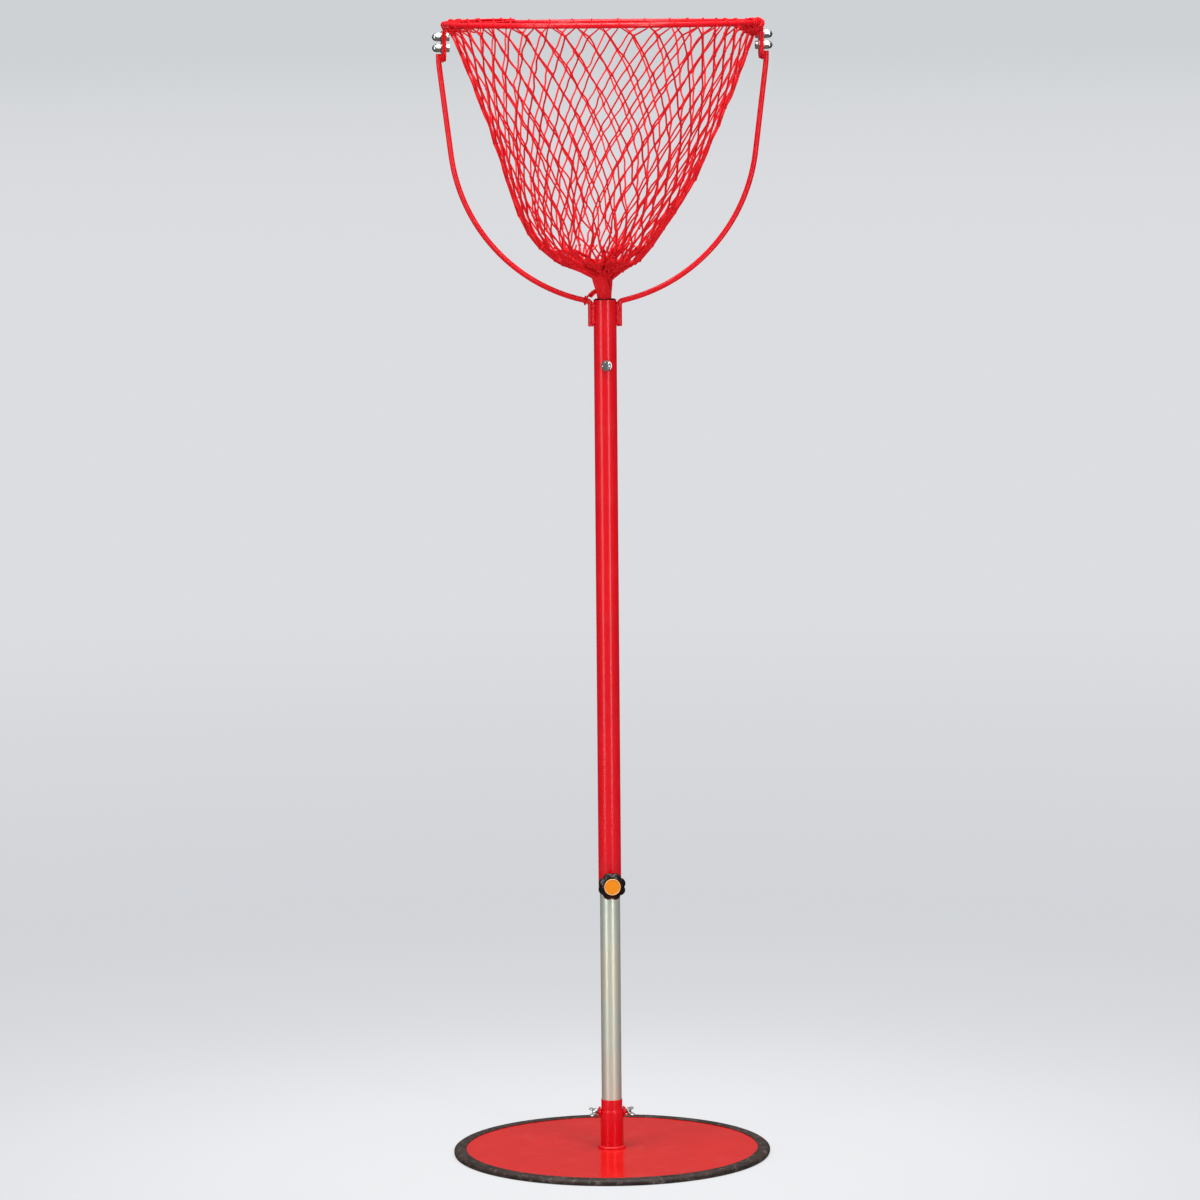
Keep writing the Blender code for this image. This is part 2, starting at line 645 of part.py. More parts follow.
def inset(points, thickness):
    """Move an outline that runs down and inwards by the wall's thickness, to the inside of the bag."""
    moved = []
    for i, (radius, height) in enumerate(points):
        before, after = points[max(i - 1, 0)], points[min(i + 1, len(points) - 1)]
        way = Vector((after[0] - before[0], after[1] - before[1])).normalized()
        moved.append((radius + way.y * thickness, height - way.x * thickness))
    return moved


def build_net():
    """Net bag as one closed shell, open at the hoop, with its gathered tail."""
    outside = net_outline()
    tail = [(NET_TAIL_TIP_RADIUS, NET_TAIL_TIP), (0.0, NET_TAIL_TIP)]
    inside = inset(outside[:-1], NET_THICKNESS)
    inside[0] = (NET_RIM_RADIUS - NET_THICKNESS, outside[0][1])
    floor = (0.0, inside[-1][1])
    bag = turned("net_bag", outside + tail + [floor] + inside[::-1], NET_STEPS, False)
    turn_outline_closed(bag)
    place(bag, NET_CORD)


def turn_outline_closed(piece):
    """Join the last point of an open outline to its first, across the rim."""
    shape = bmesh.new()
    shape.from_mesh(piece.data)
    shape.verts.ensure_lookup_table()
    shape.edges.new((shape.verts[-1], shape.verts[0]))
    axis_points = [v for v in shape.verts if v.co.x < 1e-6]
    for edge in list(axis_points[0].link_edges):
        if edge.other_vert(axis_points[0]) in axis_points:
            shape.edges.remove(edge)
    shape.to_mesh(piece.data)
    shape.free()


def lashing(name, start, end):
    """A sleeve of wound cord round the hoop between two angles about Z."""
    steps = max(4, round((end - start) / LASHING_STEP))
    route = arc((0, 0), HOOP_RADIUS, math.radians(start), math.radians(end), steps)
    curve = rod(name + "_route", [(x, y, HOOP_HEIGHT) for x, y in route],
                LASHING_RADIUS, 3, NET_CORD)
    curve.data.use_fill_caps = False
    sleeve = made_mesh(curve, name, parts)
    wall = sleeve.modifiers.new("wall", "SOLIDIFY")
    wall.thickness = LASHING_THICKNESS
    wall.offset = -1
    sleeve.data.shade_smooth()


def build_cords():
    for side, (start, end) in LASHING_ANGLES.items():
        lashing("net_lashing_" + side, start, end)

    # The tie leaves the tail, crosses to the left arm and goes once round it, beside the bend.
    rise = ARM_START_ANGLE
    bend_end = LEG_X + ARM_BEND_RADIUS * (1 - math.sin(rise))
    height = ARM_BEND_HEIGHT + ARM_BEND_RADIUS * math.cos(rise) + TIE_BEYOND_BEND * math.tan(rise)
    loop_start = Vector((-bend_end - TIE_BEYOND_BEND, 0, height))
    along_arm = Vector((-math.cos(rise), 0, math.sin(rise)))
    across_arm = Vector((math.sin(rise), 0, math.cos(rise)))
    loop_radius = ROD_RADIUS + CORD_RADIUS + TIE_SLACK
    pitch = 2 * CORD_RADIUS + 2 * CLEARANCE
    loop = []
    for i in range(TIE_STEPS + 1):
        angle = 2 * math.pi * i / TIE_STEPS
        offset = across_arm * math.cos(angle) + Vector((0, -1, 0)) * math.sin(angle)
        loop.append(tuple(loop_start + along_arm * pitch * i / TIE_STEPS + offset * loop_radius))
    rod("net_tie_cord", TIE_LEAD + loop, CORD_RADIUS, 2, NET_CORD)


build_base()
for side_name, side_sign in SIDES.items():
    build_wing_bolt(side_name, side_sign)
build_lower_pole()
build_upper_tube()
build_clamp()
build_yoke()
build_hoop()
build_net()
build_cords()
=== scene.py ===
import math

import bpy
import numpy as np
from mathutils import Matrix, Vector


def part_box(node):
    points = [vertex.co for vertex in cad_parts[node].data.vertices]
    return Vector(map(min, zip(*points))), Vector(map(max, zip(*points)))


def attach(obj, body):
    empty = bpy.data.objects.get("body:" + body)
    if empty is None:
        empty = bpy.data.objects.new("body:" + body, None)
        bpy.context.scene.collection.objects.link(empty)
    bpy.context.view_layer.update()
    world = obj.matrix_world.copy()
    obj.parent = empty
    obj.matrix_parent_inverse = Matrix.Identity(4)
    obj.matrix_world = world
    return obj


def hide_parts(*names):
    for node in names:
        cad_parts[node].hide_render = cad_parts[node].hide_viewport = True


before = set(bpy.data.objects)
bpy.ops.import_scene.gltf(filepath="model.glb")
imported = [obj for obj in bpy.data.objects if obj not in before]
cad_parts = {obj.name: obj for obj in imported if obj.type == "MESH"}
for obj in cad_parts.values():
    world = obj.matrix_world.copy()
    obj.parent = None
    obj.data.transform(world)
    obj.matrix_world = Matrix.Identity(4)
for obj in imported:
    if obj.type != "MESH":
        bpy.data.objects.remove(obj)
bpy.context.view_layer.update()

UP = np.array((0.0, 0.0, 1.0))
RIGHT = np.array((1.0, 0.0, 0.0))
FRONT = np.array((0.0, -1.0, 0.0))
TURN = 2.0 * math.pi


# ---------------------------------------------------------------- places taken from the frame

def span(node, axis):
    """Lowest and highest coordinate of a CAD node along one axis."""
    low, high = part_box(node)
    return low[axis], high[axis]


X, Y, Z = 0, 1, 2
BASE_RADIUS = span("edge_trim", X)[1]
EDGE_TOP = span("edge_trim", Z)[1]
PLATE_RADIUS = span("base_plate", X)[1]
PLATE_TOP = span("base_plate", Z)[1]
SOCKET_FOOT, SOCKET_TOP = span("base_socket", Z)
LOWER_BOTTOM, LOWER_TOP = span("lower_tube", Z)
LOWER_RADIUS = span("lower_tube", X)[1]
UPPER_BOTTOM, UPPER_TOP = span("upper_tube", Z)
UPPER_RADIUS = span("upper_tube", X)[1]
HOOP_HEIGHT = sum(span("hoop_ring", Z)) / 2
BAR_RADIUS = (span("hoop_ring", Z)[1] - span("hoop_ring", Z)[0]) / 2
HOOP_RADIUS = span("hoop_ring", X)[1] - BAR_RADIUS
CLAMP_HEIGHT = sum(span("clamp_boss", Z)) / 2
STOP_HEIGHT = sum(span("stop_washer_front", Z)) / 2
WING_HEIGHT = sum(span("socket_nut_right", Z)) / 2
TUBE_WALL = 0.0016
THREAD_RADIUS, THREAD_DEPTH, THREAD_PITCH = 0.00395, 0.00055, 0.00125
HOLE_RADIUS = 0.0043
HEX_FLATS = 0.013
WASHER_RADIUS = 0.0084
GAP = 0.0003


# ---------------------------------------------------------------- surfaces worked out as arrays

def unit(v):
    """Vectors scaled to length one."""
    return v / np.linalg.norm(v, axis=-1, keepdims=True)


def walked(path):
    """Distance walked along a path up to each of its points."""
    return np.concatenate([[0], np.cumsum(np.linalg.norm(np.diff(path, axis=0), axis=1))])


def polar(r, a, z):
    """Points at radius r, angle a and height z: (r cos a, r sin a, z)."""
    return np.stack(np.broadcast_arrays(r * np.cos(a), r * np.sin(a), z), -1)


def surface(points, loop_rows=False, along=None, batch=False):
    """One closed surface from a grid of points (rows, cols, 3), or many from (count, rows, cols, 3).

    A quad joins each point to its next column, which wraps round, and to its next row. Unless the
    rows wrap round as well, each end row is closed by a fan round its mean point. The texture place
    of point (i, j) is (j / cols, distance along the rows).
    """
    grid = np.asarray(points, float)
    if not batch:
        grid = grid[None]
    count, rows, cols, _ = grid.shape
    i = np.arange(rows if loop_rows else rows - 1)
    a, b = (m.ravel() for m in np.meshgrid(i, np.arange(cols), indexing="ij"))
    a2, b2 = (a + 1) % rows, (b + 1) % cols
    quad = np.stack([a * cols + b, a * cols + b2, a2 * cols + b2, a2 * cols + b], -1)
    if along is None:
        middle = grid.mean(axis=2)
        step = np.linalg.norm(np.diff(middle, axis=1), axis=-1)
        along = np.concatenate([np.zeros((count, 1)), np.cumsum(step, axis=1)], axis=1)
    along = np.broadcast_to(np.asarray(along, float), (count, rows))
    last = along[:, -1:] + (along[:, -1:] - along[:, -2:-1])
    far = np.concatenate([along, last], axis=1)
    u = np.stack([b, b + 1, b + 1, b], -1) / cols
    v = far[:, np.stack([a, a, a + 1, a + 1], -1)]
    quad_uv = np.stack([np.broadcast_to(u, v.shape), v], -1)

    stride = rows * cols
    verts = [grid.reshape(-1, 3)]
    base = np.arange(count)[:, None, None] * stride
    quads = (quad[None] + base).reshape(-1, 4)
    tris, tri_uv = [], []
    start = count * stride
    for end in () if loop_rows else (0, rows - 1):
        centre = grid[:, end].mean(axis=1)
        verts.append(centre)
        ring = end * cols + np.arange(cols)
        nxt = np.roll(ring, -1)
        order = (nxt, ring) if end == 0 else (ring, nxt)
        hub = (start + np.arange(count))[:, None]
        fan = np.stack([order[0][None] + base[:, 0], order[1][None] + base[:, 0],
                        np.broadcast_to(hub, (count, cols))], -1)
        tris.append(fan.reshape(-1, 3))
        place = np.zeros((count, cols, 3, 2))
        place[..., 0] = (np.arange(cols) / cols)[None, :, None]
        place[..., 1] = along[:, end][:, None, None]
        tri_uv.append(place.reshape(-1, 3, 2))
        start += count
    tris = np.concatenate(tris) if tris else np.zeros((0, 3), int)
    tri_uv = np.concatenate(tri_uv) if tri_uv else np.zeros((0, 3, 2))
    return {"verts": np.concatenate(verts), "quads": quads, "tris": tris,
            "quad_uv": quad_uv.reshape(-1, 4, 2), "tri_uv": tri_uv}


def outward(part):
    """Turn a closed surface so that its volume, the sum of its faces' cones, is positive."""
    v, q = part["verts"], part["quads"]
    faces = np.concatenate([q[:, [0, 1, 2]], q[:, [0, 2, 3]], part["tris"]])
    a, b, c = (v[faces[:, k]] for k in range(3))
    if np.einsum("ij,ij->", a, np.cross(b, c)) < 0:
        for key in ("quads", "tris", "quad_uv", "tri_uv"):
            part[key] = part[key][:, ::-1]
    return part


def piece(name, parts, material, body, slot, replaces=(), sharp=38):
    """Make one object of several closed surfaces, in place, and tie it to the frame."""
    verts, faces, places = [], [], []
    start = 0
    for part in map(outward, parts):
        verts.append(part["verts"])
        faces += (part["quads"] + start).tolist() + (part["tris"] + start).tolist()
        places += [part["quad_uv"].reshape(-1, 2), part["tri_uv"].reshape(-1, 2)]
        start += len(part["verts"])
    mesh = bpy.data.meshes.new(name)
    mesh.from_pydata(np.concatenate(verts).tolist(), [], faces)
    layer = mesh.uv_layers.new(name="surface")
    layer.data.foreach_set("uv", np.concatenate(places).ravel())
    mesh.shade_smooth()
    mesh.set_sharp_from_angle(angle=math.radians(sharp))
    mesh.materials.append(material)
    made = bpy.data.objects.new(name, mesh)
    bpy.context.scene.collection.objects.link(made)
    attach(made, body)
    if replaces:
        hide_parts(*replaces)
    return made


def placed(points, origin=(0, 0, 0), axis=UP, first=RIGHT):
    """Move points from a piece's own axes (first, second, axis) to their place."""
    axis, first = np.asarray(axis, float), np.asarray(first, float)
    second = np.cross(axis, first)
    points = np.asarray(points, float)
    return (np.asarray(origin, float) + points[..., :1] * first
            + points[..., 1:2] * second + points[..., 2:3] * axis)


def rounded(outline, radius, steps=4, closed=False):
    """Round each corner of an outline: the corner point is swapped for points on the curve
    (1 - t)^2 A + 2 t (1 - t) C + t^2 B, where C is the corner and A and B lie radius away from it
    along its two sides, or half a side away where the side is short."""
    points = np.asarray(outline, float)
    before, after = np.roll(points, 1, axis=0), np.roll(points, -1, axis=0)
    back, ahead = before - points, after - points
    back_len = np.linalg.norm(back, axis=1, keepdims=True)
    ahead_len = np.linalg.norm(ahead, axis=1, keepdims=True)
    size = np.minimum(radius, 0.48 * np.minimum(back_len, ahead_len))
    first = points + back / back_len * size
    last = points + ahead / ahead_len * size
    t = np.linspace(0, 1, steps)[None, :, None]
    curve = (1 - t) ** 2 * first[:, None] + 2 * t * (1 - t) * points[:, None] + t ** 2 * last[:, None]
    if not closed:
        curve[0] = points[0]
        curve[-1] = points[-1]
    flat = curve.reshape(-1, 2)
    keep = np.ones(len(flat), bool)
    keep[1:] = np.linalg.norm(np.diff(flat, axis=0), axis=1) > 1e-7
    return flat[keep]


def turned(outline, sides=96, closed=False, bump=None, **where):
    """Turn an outline of (radius, height) about its axis: (r cos a, r sin a, h).

    bump(a, r, h) may give an offset along the radius that changes round the axis."""
    angle = np.arange(sides) / sides * TURN
    r = np.repeat(outline[:, :1], sides, axis=1)
    h = np.repeat(outline[:, 1:2], sides, axis=1)
    a = np.broadcast_to(angle, r.shape)
    if bump is not None:
        r = r + bump(a, r, h)
    return surface(placed(polar(r, a, h), **where), loop_rows=closed, along=walked(outline))


def swept(path, radius, sides=16, reference=UP, loop=False, flat=1.0, batch=False):
    """Carry a round section along a path: P + r (cos a N + flat sin a B), where N is the part of the
    reference direction that is square to the path and B = T x N. The radius may change along it."""
    path = np.asarray(path, float)
    if not batch:
        path = path[None]
    if loop:
        tangent = np.roll(path, -1, axis=1) - np.roll(path, 1, axis=1)
    else:
        tangent = np.gradient(path, axis=1)
    tangent = unit(tangent)
    ref = np.broadcast_to(np.asarray(reference, float), path.shape)
    normal = unit(ref - np.sum(ref * tangent, axis=-1, keepdims=True) * tangent)
    side = np.cross(tangent, normal)
    a = np.arange(sides) / sides * TURN
    r = np.broadcast_to(np.asarray(radius, float), path.shape[:-1])[..., None, None]
    grid = (path[..., None, :] + r * np.cos(a)[:, None] * normal[..., None, :]
            + r * flat * np.sin(a)[:, None] * side[..., None, :])
    return surface(grid, loop_rows=loop, batch=True)


def hex_body(height, bore=0.0, chamfered=(True, True), **where):
    """Hexagon nut or bolt head. Its side lies (flats / 2) / cos(a folded to +-30 degrees) from the
    axis, 0.12 mm less at the worn corners. A chamfered end is cut by a 30 degree cone, so a side
    ends lower by (hexagon - circle) tan 30 wherever the hexagon passes the circle."""
    sides, soft = 72, 0.0001
    a = np.arange(sides) / sides * TURN
    fold = np.mod(a + math.pi / 6, math.pi / 3) - math.pi / 6
    reach = HEX_FLATS / 2 / np.cos(fold) - 0.00012 * (np.cos(6 * a) < -0.93)
    circle = HEX_FLATS / 2 * 0.985
    face = np.minimum(reach, circle)
    drop = np.maximum(reach - circle, 0) * math.tan(math.radians(30)) + soft
    low, top = (drop if cut else np.full(sides, soft) for cut in chamfered)
    near, far = (face if cut else reach - soft for cut in chamfered)
    small = np.full(sides, max(bore, 0.0004))
    radii = [small, near, reach, reach, far, small]
    zero = np.zeros(sides)
    heights = [zero, zero, zero + low, height - top, zero + height, zero + height]
    if bore:
        radii += [small - 0.0002, small - 0.0002]
        radii[0] = radii[5] = small + 0.0005
        heights += [zero + height - 0.0006, zero + 0.0006]
    return surface(placed(polar(np.array(radii), a, np.array(heights)), **where), loop_rows=bool(bore))


def thread(start, end, **where):
    """Screw thread: r = radius - depth * |2 frac(h / pitch - a / turn) - 1|, with a 0.9 mm chamfer
    over the last pitch."""
    rows, sides = max(int(abs(end - start) / THREAD_PITCH * 8), 8), 32
    h = np.linspace(start, end, rows)[:, None]
    a = (np.arange(sides) / sides * TURN)[None]
    wave = np.abs(2 * np.mod(h / THREAD_PITCH - a / TURN, 1) - 1)
    chamfer = np.clip(1 - np.abs(end - h) / THREAD_PITCH, 0, 1) * 0.0009
    return surface(placed(polar(THREAD_RADIUS - THREAD_DEPTH * wave - chamfer, a, h), **where))


def washer_ring(outer, thickness, **where):
    """Plain washer: a turned rectangle with softened edges."""
    outline = [(HOLE_RADIUS, 0), (outer, 0), (outer, thickness), (HOLE_RADIUS, thickness)]
    return turned(rounded(outline, 0.0003, 3, closed=True), 64, closed=True, **where)


def ripple_bead(path, radius, reference, wave=0.0016):
    """Weld bead: an oval section whose radius swells by 13% once a wave, like laid-down drops, and
    tapers to half over the last 3 mm at each end."""
    length = walked(path)
    swell = 1 + 0.13 * np.abs(np.sin(math.pi * length / wave)) + 0.07 * np.sin(length * 910)
    taper = np.clip(np.minimum(length, length[-1] - length) / 0.003, 0.25, 1) ** 0.5
    return swept(path, radius * swell * taper, 12, reference, flat=0.75)


# ---------------------------------------------------------------- shader groups

class Tree:
    """A short way to add and join shader nodes."""

    def __init__(self, tree):
        self.tree = tree
        self.nodes = tree.nodes
        self.links = tree.links

    def add(self, kind, settings=None, **inputs):
        made = self.nodes.new("ShaderNode" + kind)
        for key, value in (settings or {}).items():
            setattr(made, key, value)
        for key, value in inputs.items():
            socket = made.inputs[int(key[1:])] if key[0] == "i" and key[1:].isdigit() else (
                made.inputs[key.replace("_", " ")])
            self.feed(socket, value)
        return made

    def feed(self, socket, value):
        if hasattr(value, "is_output"):
            self.links.new(value, socket)
        else:
            socket.default_value = value

    def math(self, operation, a, b=0.0):
        return self.add("Math", {"operation": operation}, i0=a, i1=b).outputs[0]

    def times(self, a, b):
        return self.math("MULTIPLY", a, b)

    def plus(self, a, b):
        return self.math("ADD", a, b)

    def noise(self, vector, scale, detail=3.0, roughness=0.5):
        made = self.add("TexNoise", Vector=vector, Scale=scale, Detail=detail, Roughness=roughness)
        return made.outputs["Fac"]

    def stretched(self, vector, scale):
        return self.add("Mapping", Vector=vector, Scale=scale).outputs[0]

    def ramp(self, value, low, high, to_low=0.0, to_high=1.0):
        made = self.add("MapRange", {"interpolation_type": "SMOOTHSTEP"}, Value=value)
        for key, number in (("From Min", low), ("From Max", high),
                            ("To Min", to_low), ("To Max", to_high)):
            self.feed(made.inputs[key], number)
        return made.outputs["Result"]

    def mix(self, factor, a, b):
        made = self.add("Mix", {"data_type": "RGBA"})
        self.feed(made.inputs["Factor"], factor)
        self.feed(made.inputs["A"], a)
        self.feed(made.inputs["B"], b)
        return made.outputs["Result"]


def colour(r, g, b):
    """A linear colour, fully opaque."""
    return (r, g, b, 1.0)


def open_skin(name, inputs):
    """A group with the named inputs and with colour, roughness and height as its outputs. Returns its
    nodes and the sockets at its two ends."""
    group = bpy.data.node_groups.new(name, "ShaderNodeTree")
    kinds = {"colour": "NodeSocketColor", "value": "NodeSocketFloat", "vector": "NodeSocketVector"}
    outputs = (("Colour", "colour"), ("Roughness", "value"), ("Height", "value"))
    for label, kind, default in inputs:
        socket = group.interface.new_socket(label, in_out="INPUT", socket_type=kinds[kind])
        if default is not None:
            socket.default_value = default
    for label, kind in outputs:
        group.interface.new_socket(label, in_out="OUTPUT", socket_type=kinds[kind])
    start, end = group.nodes.new("NodeGroupInput"), group.nodes.new("NodeGroupOutput")
    return Tree(group), start.outputs, end.inputs


def close_skin(t, end, tone, rough, height):
    """Join the three results to the group's outputs."""
    t.feed(end["Colour"], tone)
    t.feed(end["Roughness"], rough)
    t.feed(end["Height"], height)
    return t.tree


def enamel_group():
    """Sprayed enamel: faint cloudy colour, orange peel, fine scuffs and a little settled dust."""
    t, start, end = open_skin("enamel_skin", [
        ("Place", "vector", None), ("Paint", "colour", colour(0.7, 0.02, 0.02)),
        ("Deep Paint", "colour", colour(0.4, 0.01, 0.01)), ("Dust", "value", 0.1),
        ("Scuffs", "value", 0.3), ("Base Roughness", "value", 0.2), ("Peel Scale", "value", 420.0),
    ])
    place = start["Place"]
    cloud = t.noise(place, 9.0, 4.0, 0.55)
    tone = t.mix(t.ramp(cloud, 0.35, 0.72), start["Deep Paint"], start["Paint"])
    dust = t.times(t.ramp(t.noise(place, 34.0, 5.0, 0.62), 0.48, 0.78), start["Dust"])
    tone = t.mix(dust, tone, colour(0.62, 0.50, 0.46))
    scuff_lines = t.noise(t.stretched(place, (260.0, 260.0, 18.0)), 1.0, 2.0, 0.4)
    scuff = t.times(t.ramp(scuff_lines, 0.66, 0.74), start["Scuffs"])
    tone = t.mix(t.times(scuff, 0.35), tone, colour(0.85, 0.25, 0.22))
    peel = t.noise(place, start["Peel Scale"], 2.0, 0.5)
    rough = t.plus(start["Base Roughness"], t.times(cloud, 0.08))
    rough = t.plus(rough, t.times(t.plus(scuff, dust), 0.35))
    return close_skin(t, end, tone, rough,
                      t.math("SUBTRACT", t.times(peel, 0.6), t.times(scuff, 0.5)))


def plating_group():
    """Zinc plate: two passivation tints in slow clouds, drawn streaks and dull spots."""
    t, start, end = open_skin("zinc_skin", [
        ("Place", "vector", None), ("Warm", "colour", colour(0.8, 0.78, 0.68)),
        ("Cool", "colour", colour(0.72, 0.77, 0.74)), ("Streak Stretch", "vector", None),
        ("Base Roughness", "value", 0.25), ("Streaks", "value", 0.5), ("Cloud Scale", "value", 14.0),
    ])
    place = start["Place"]
    cloud = t.noise(place, start["Cloud Scale"], 4.0, 0.6)
    tone = t.mix(t.ramp(cloud, 0.38, 0.64), start["Warm"], start["Cool"])
    lines = t.noise(t.add("VectorMath", {"operation": "MULTIPLY"}, i0=place,
                          i1=start["Streak Stretch"]).outputs[0], 1.0, 4.0, 0.6)
    streak = t.times(t.ramp(lines, 0.42, 0.70), start["Streaks"])
    spots = t.ramp(t.noise(place, 170.0, 3.0, 0.6), 0.60, 0.74)
    tone = t.mix(t.times(streak, 0.30), tone, colour(0.42, 0.42, 0.38))
    tone = t.mix(t.times(spots, 0.10), tone, colour(0.50, 0.50, 0.47))
    rough = t.plus(start["Base Roughness"], t.times(streak, 0.16))
    rough = t.plus(rough, t.times(spots, 0.14))
    return close_skin(t, end, tone, rough, t.plus(t.times(lines, 0.6), t.times(spots, -0.3)))


def moulded_group():
    """Moulded rubber or plastic: fine grain, flow marks, rubbed patches and dust."""
    t, start, end = open_skin("moulded_skin", [
        ("Place", "vector", None), ("Body", "colour", colour(0.02, 0.02, 0.02)),
        ("Rubbed", "colour", colour(0.06, 0.05, 0.05)), ("Dusty", "value", 0.2),
        ("Base Roughness", "value", 0.4), ("Grain Scale", "value", 900.0),
    ])
    place = start["Place"]
    flow = t.noise(place, 38.0, 4.0, 0.6)
    grain = t.noise(place, start["Grain Scale"], 3.0, 0.6)
    tone = t.mix(t.ramp(flow, 0.40, 0.72), start["Body"], start["Rubbed"])
    dust = t.times(t.ramp(t.noise(place, 120.0, 5.0, 0.65), 0.50, 0.72), start["Dusty"])
    tone = t.mix(dust, tone, colour(0.40, 0.34, 0.30))
    rough = t.plus(start["Base Roughness"], t.times(flow, 0.10))
    rough = t.plus(rough, t.times(dust, 0.30))
    return close_skin(t, end, tone, rough, grain)


def cord_group():
    """Twisted cord, read from (turn round the cord, metres along it): three yarns laid at a slant,
    each of many fibres. Yarn = |sin(pi (3 u + v / lay))|, fibre = a finer slanted wave."""
    t, start, end = open_skin("cord_lay", [
        ("Surface", "vector", None), ("Place", "vector", None),
        ("Cord", "colour", colour(0.7, 0.02, 0.03)), ("Shadow", "colour", colour(0.3, 0.01, 0.01)),
        ("Faded", "colour", colour(0.8, 0.1, 0.08)), ("Lay", "value", 0.011),
    ])
    split = t.add("SeparateXYZ", Vector=start["Surface"])
    u, v = split.outputs[0], split.outputs[1]
    turns = t.math("DIVIDE", v, start["Lay"])
    slant = t.plus(t.times(u, 3.0), t.times(turns, 3.0))
    yarn = t.math("ABSOLUTE", t.math("SINE", t.times(slant, math.pi)))
    fine = t.math("SUBTRACT", t.times(u, 22.0), t.times(turns, 9.0))
    fibre = t.math("ABSOLUTE", t.math("SINE", t.times(fine, math.pi)))
    tone = t.mix(t.ramp(yarn, 0.05, 0.65), start["Shadow"], start["Cord"])
    fade = t.ramp(t.noise(start["Place"], 26.0, 3.0, 0.6), 0.45, 0.75)
    tone = t.mix(t.times(fade, 0.35), tone, start["Faded"])
    rough = t.math("SUBTRACT", 0.62, t.times(yarn, 0.14))
    return close_skin(t, end, tone, rough, t.plus(yarn, t.times(fibre, 0.25)))


ENAMEL, PLATING, MOULDED, CORD_LAY = enamel_group(), plating_group(), moulded_group(), cord_group()


# ---------------------------------------------------------------- materials

def material(name, group, values, bump, distance, surface_map=False, **constants):
    """A Principled material whose colour, roughness and bump come from one skin group."""
    made = bpy.data.materials.new(name)
    made.use_nodes = True
    t = Tree(made.node_tree)
    shader = t.nodes["Principled BSDF"]
    coords = t.add("TexCoord")
    skin = t.nodes.new("ShaderNodeGroup")
    skin.node_tree = group
    t.links.new(coords.outputs["Object"], skin.inputs["Place"])
    if surface_map:
        t.links.new(coords.outputs["UV"], skin.inputs["Surface"])
    for key, value in values.items():
        skin.inputs[key].default_value = value
    relief = t.add("Bump", Strength=bump, Distance=distance, Height=skin.outputs["Height"])
    t.links.new(skin.outputs["Colour"], shader.inputs["Base Color"])
    t.links.new(skin.outputs["Roughness"], shader.inputs["Roughness"])
    t.links.new(relief.outputs["Normal"], shader.inputs["Normal"])
    for key, value in constants.items():
        shader.inputs[key.replace("_", " ")].default_value = value
    return made


RED_PAINT = material("red_enamel", ENAMEL, {
    "Paint": colour(0.70, 0.003, 0.011), "Deep Paint": colour(0.63, 0.002, 0.009),
    "Dust": 0.015, "Scuffs": 0.08, "Base Roughness": 0.20, "Peel Scale": 300.0,
}, 0.04, 0.0003, Specular_IOR_Level=0.28, Coat_Weight=0.12, Coat_Roughness=0.08, IOR=1.5)

PLATE_PAINT = material("base_plate_enamel", ENAMEL, {
    "Paint": colour(0.74, 0.009, 0.006), "Deep Paint": colour(0.70, 0.007, 0.005),
    "Dust": 0.03, "Scuffs": 0.15, "Base Roughness": 0.16, "Peel Scale": 160.0,
}, 0.03, 0.0003, Specular_IOR_Level=0.45, Coat_Weight=0.25, Coat_Roughness=0.05, IOR=1.5)

ZINC_TUBE = material("zinc_tube_plate", PLATING, {
    "Warm": colour(0.93, 0.92, 0.75), "Cool": colour(0.84, 0.95, 0.84),
    "Streak Stretch": (320.0, 320.0, 3.0), "Base Roughness": 0.31, "Streaks": 0.30,
    "Cloud Scale": 5.0,
}, 0.06, 0.0002, Metallic=0.70, Specular_IOR_Level=0.5)

BRIGHT_ZINC = material("bright_zinc_plate", PLATING, {
    "Warm": colour(0.50, 0.48, 0.44), "Cool": colour(0.40, 0.43, 0.44),
    "Streak Stretch": (90.0, 90.0, 90.0), "Base Roughness": 0.16, "Streaks": 0.45,
    "Cloud Scale": 60.0,
}, 0.10, 0.0002, Metallic=1.0)

# painted shade: near-black colour that stands for the shade inside the upper tube's mouth
MOUTH_PAINTED_SHADE = material("tube_mouth_painted_shade", MOULDED, {
    "Body": colour(0.006, 0.003, 0.003), "Rubbed": colour(0.012, 0.006, 0.006), "Dusty": 0.02,
    "Base Roughness": 0.7, "Grain Scale": 900.0,
}, 0.1, 0.0002, Specular_IOR_Level=0.1)

EDGE_RUBBER = material("edge_rubber", MOULDED, {
    "Body": colour(0.022, 0.013, 0.011), "Rubbed": colour(0.048, 0.030, 0.026), "Dusty": 0.25,
    "Base Roughness": 0.42, "Grain Scale": 700.0,
}, 0.25, 0.0003, IOR=1.45, Specular_IOR_Level=0.3)

BLACK_KNOB = material("black_phenolic", MOULDED, {
    "Body": colour(0.005, 0.002, 0.002), "Rubbed": colour(0.011, 0.006, 0.006), "Dusty": 0.02,
    "Base Roughness": 0.13, "Grain Scale": 1500.0,
}, 0.05, 0.0002, IOR=1.5, Specular_IOR_Level=0.35)

ORANGE_CAP = material("orange_cap_plastic", MOULDED, {
    "Body": colour(0.80, 0.235, 0.002), "Rubbed": colour(0.82, 0.26, 0.005), "Dusty": 0.02,
    "Base Roughness": 0.30, "Grain Scale": 1300.0,
}, 0.10, 0.0002, IOR=1.46, Specular_IOR_Level=0.3)

# painted highlight: a pale orange for the light caught by the knob cap's edge
RIM_PAINTED_HIGHLIGHT = material("orange_cap_rim_painted_highlight", MOULDED, {
    "Body": colour(0.88, 0.46, 0.16), "Rubbed": colour(0.90, 0.50, 0.20), "Dusty": 0.02,
    "Base Roughness": 0.28, "Grain Scale": 1300.0,
}, 0.10, 0.0002, IOR=1.46)

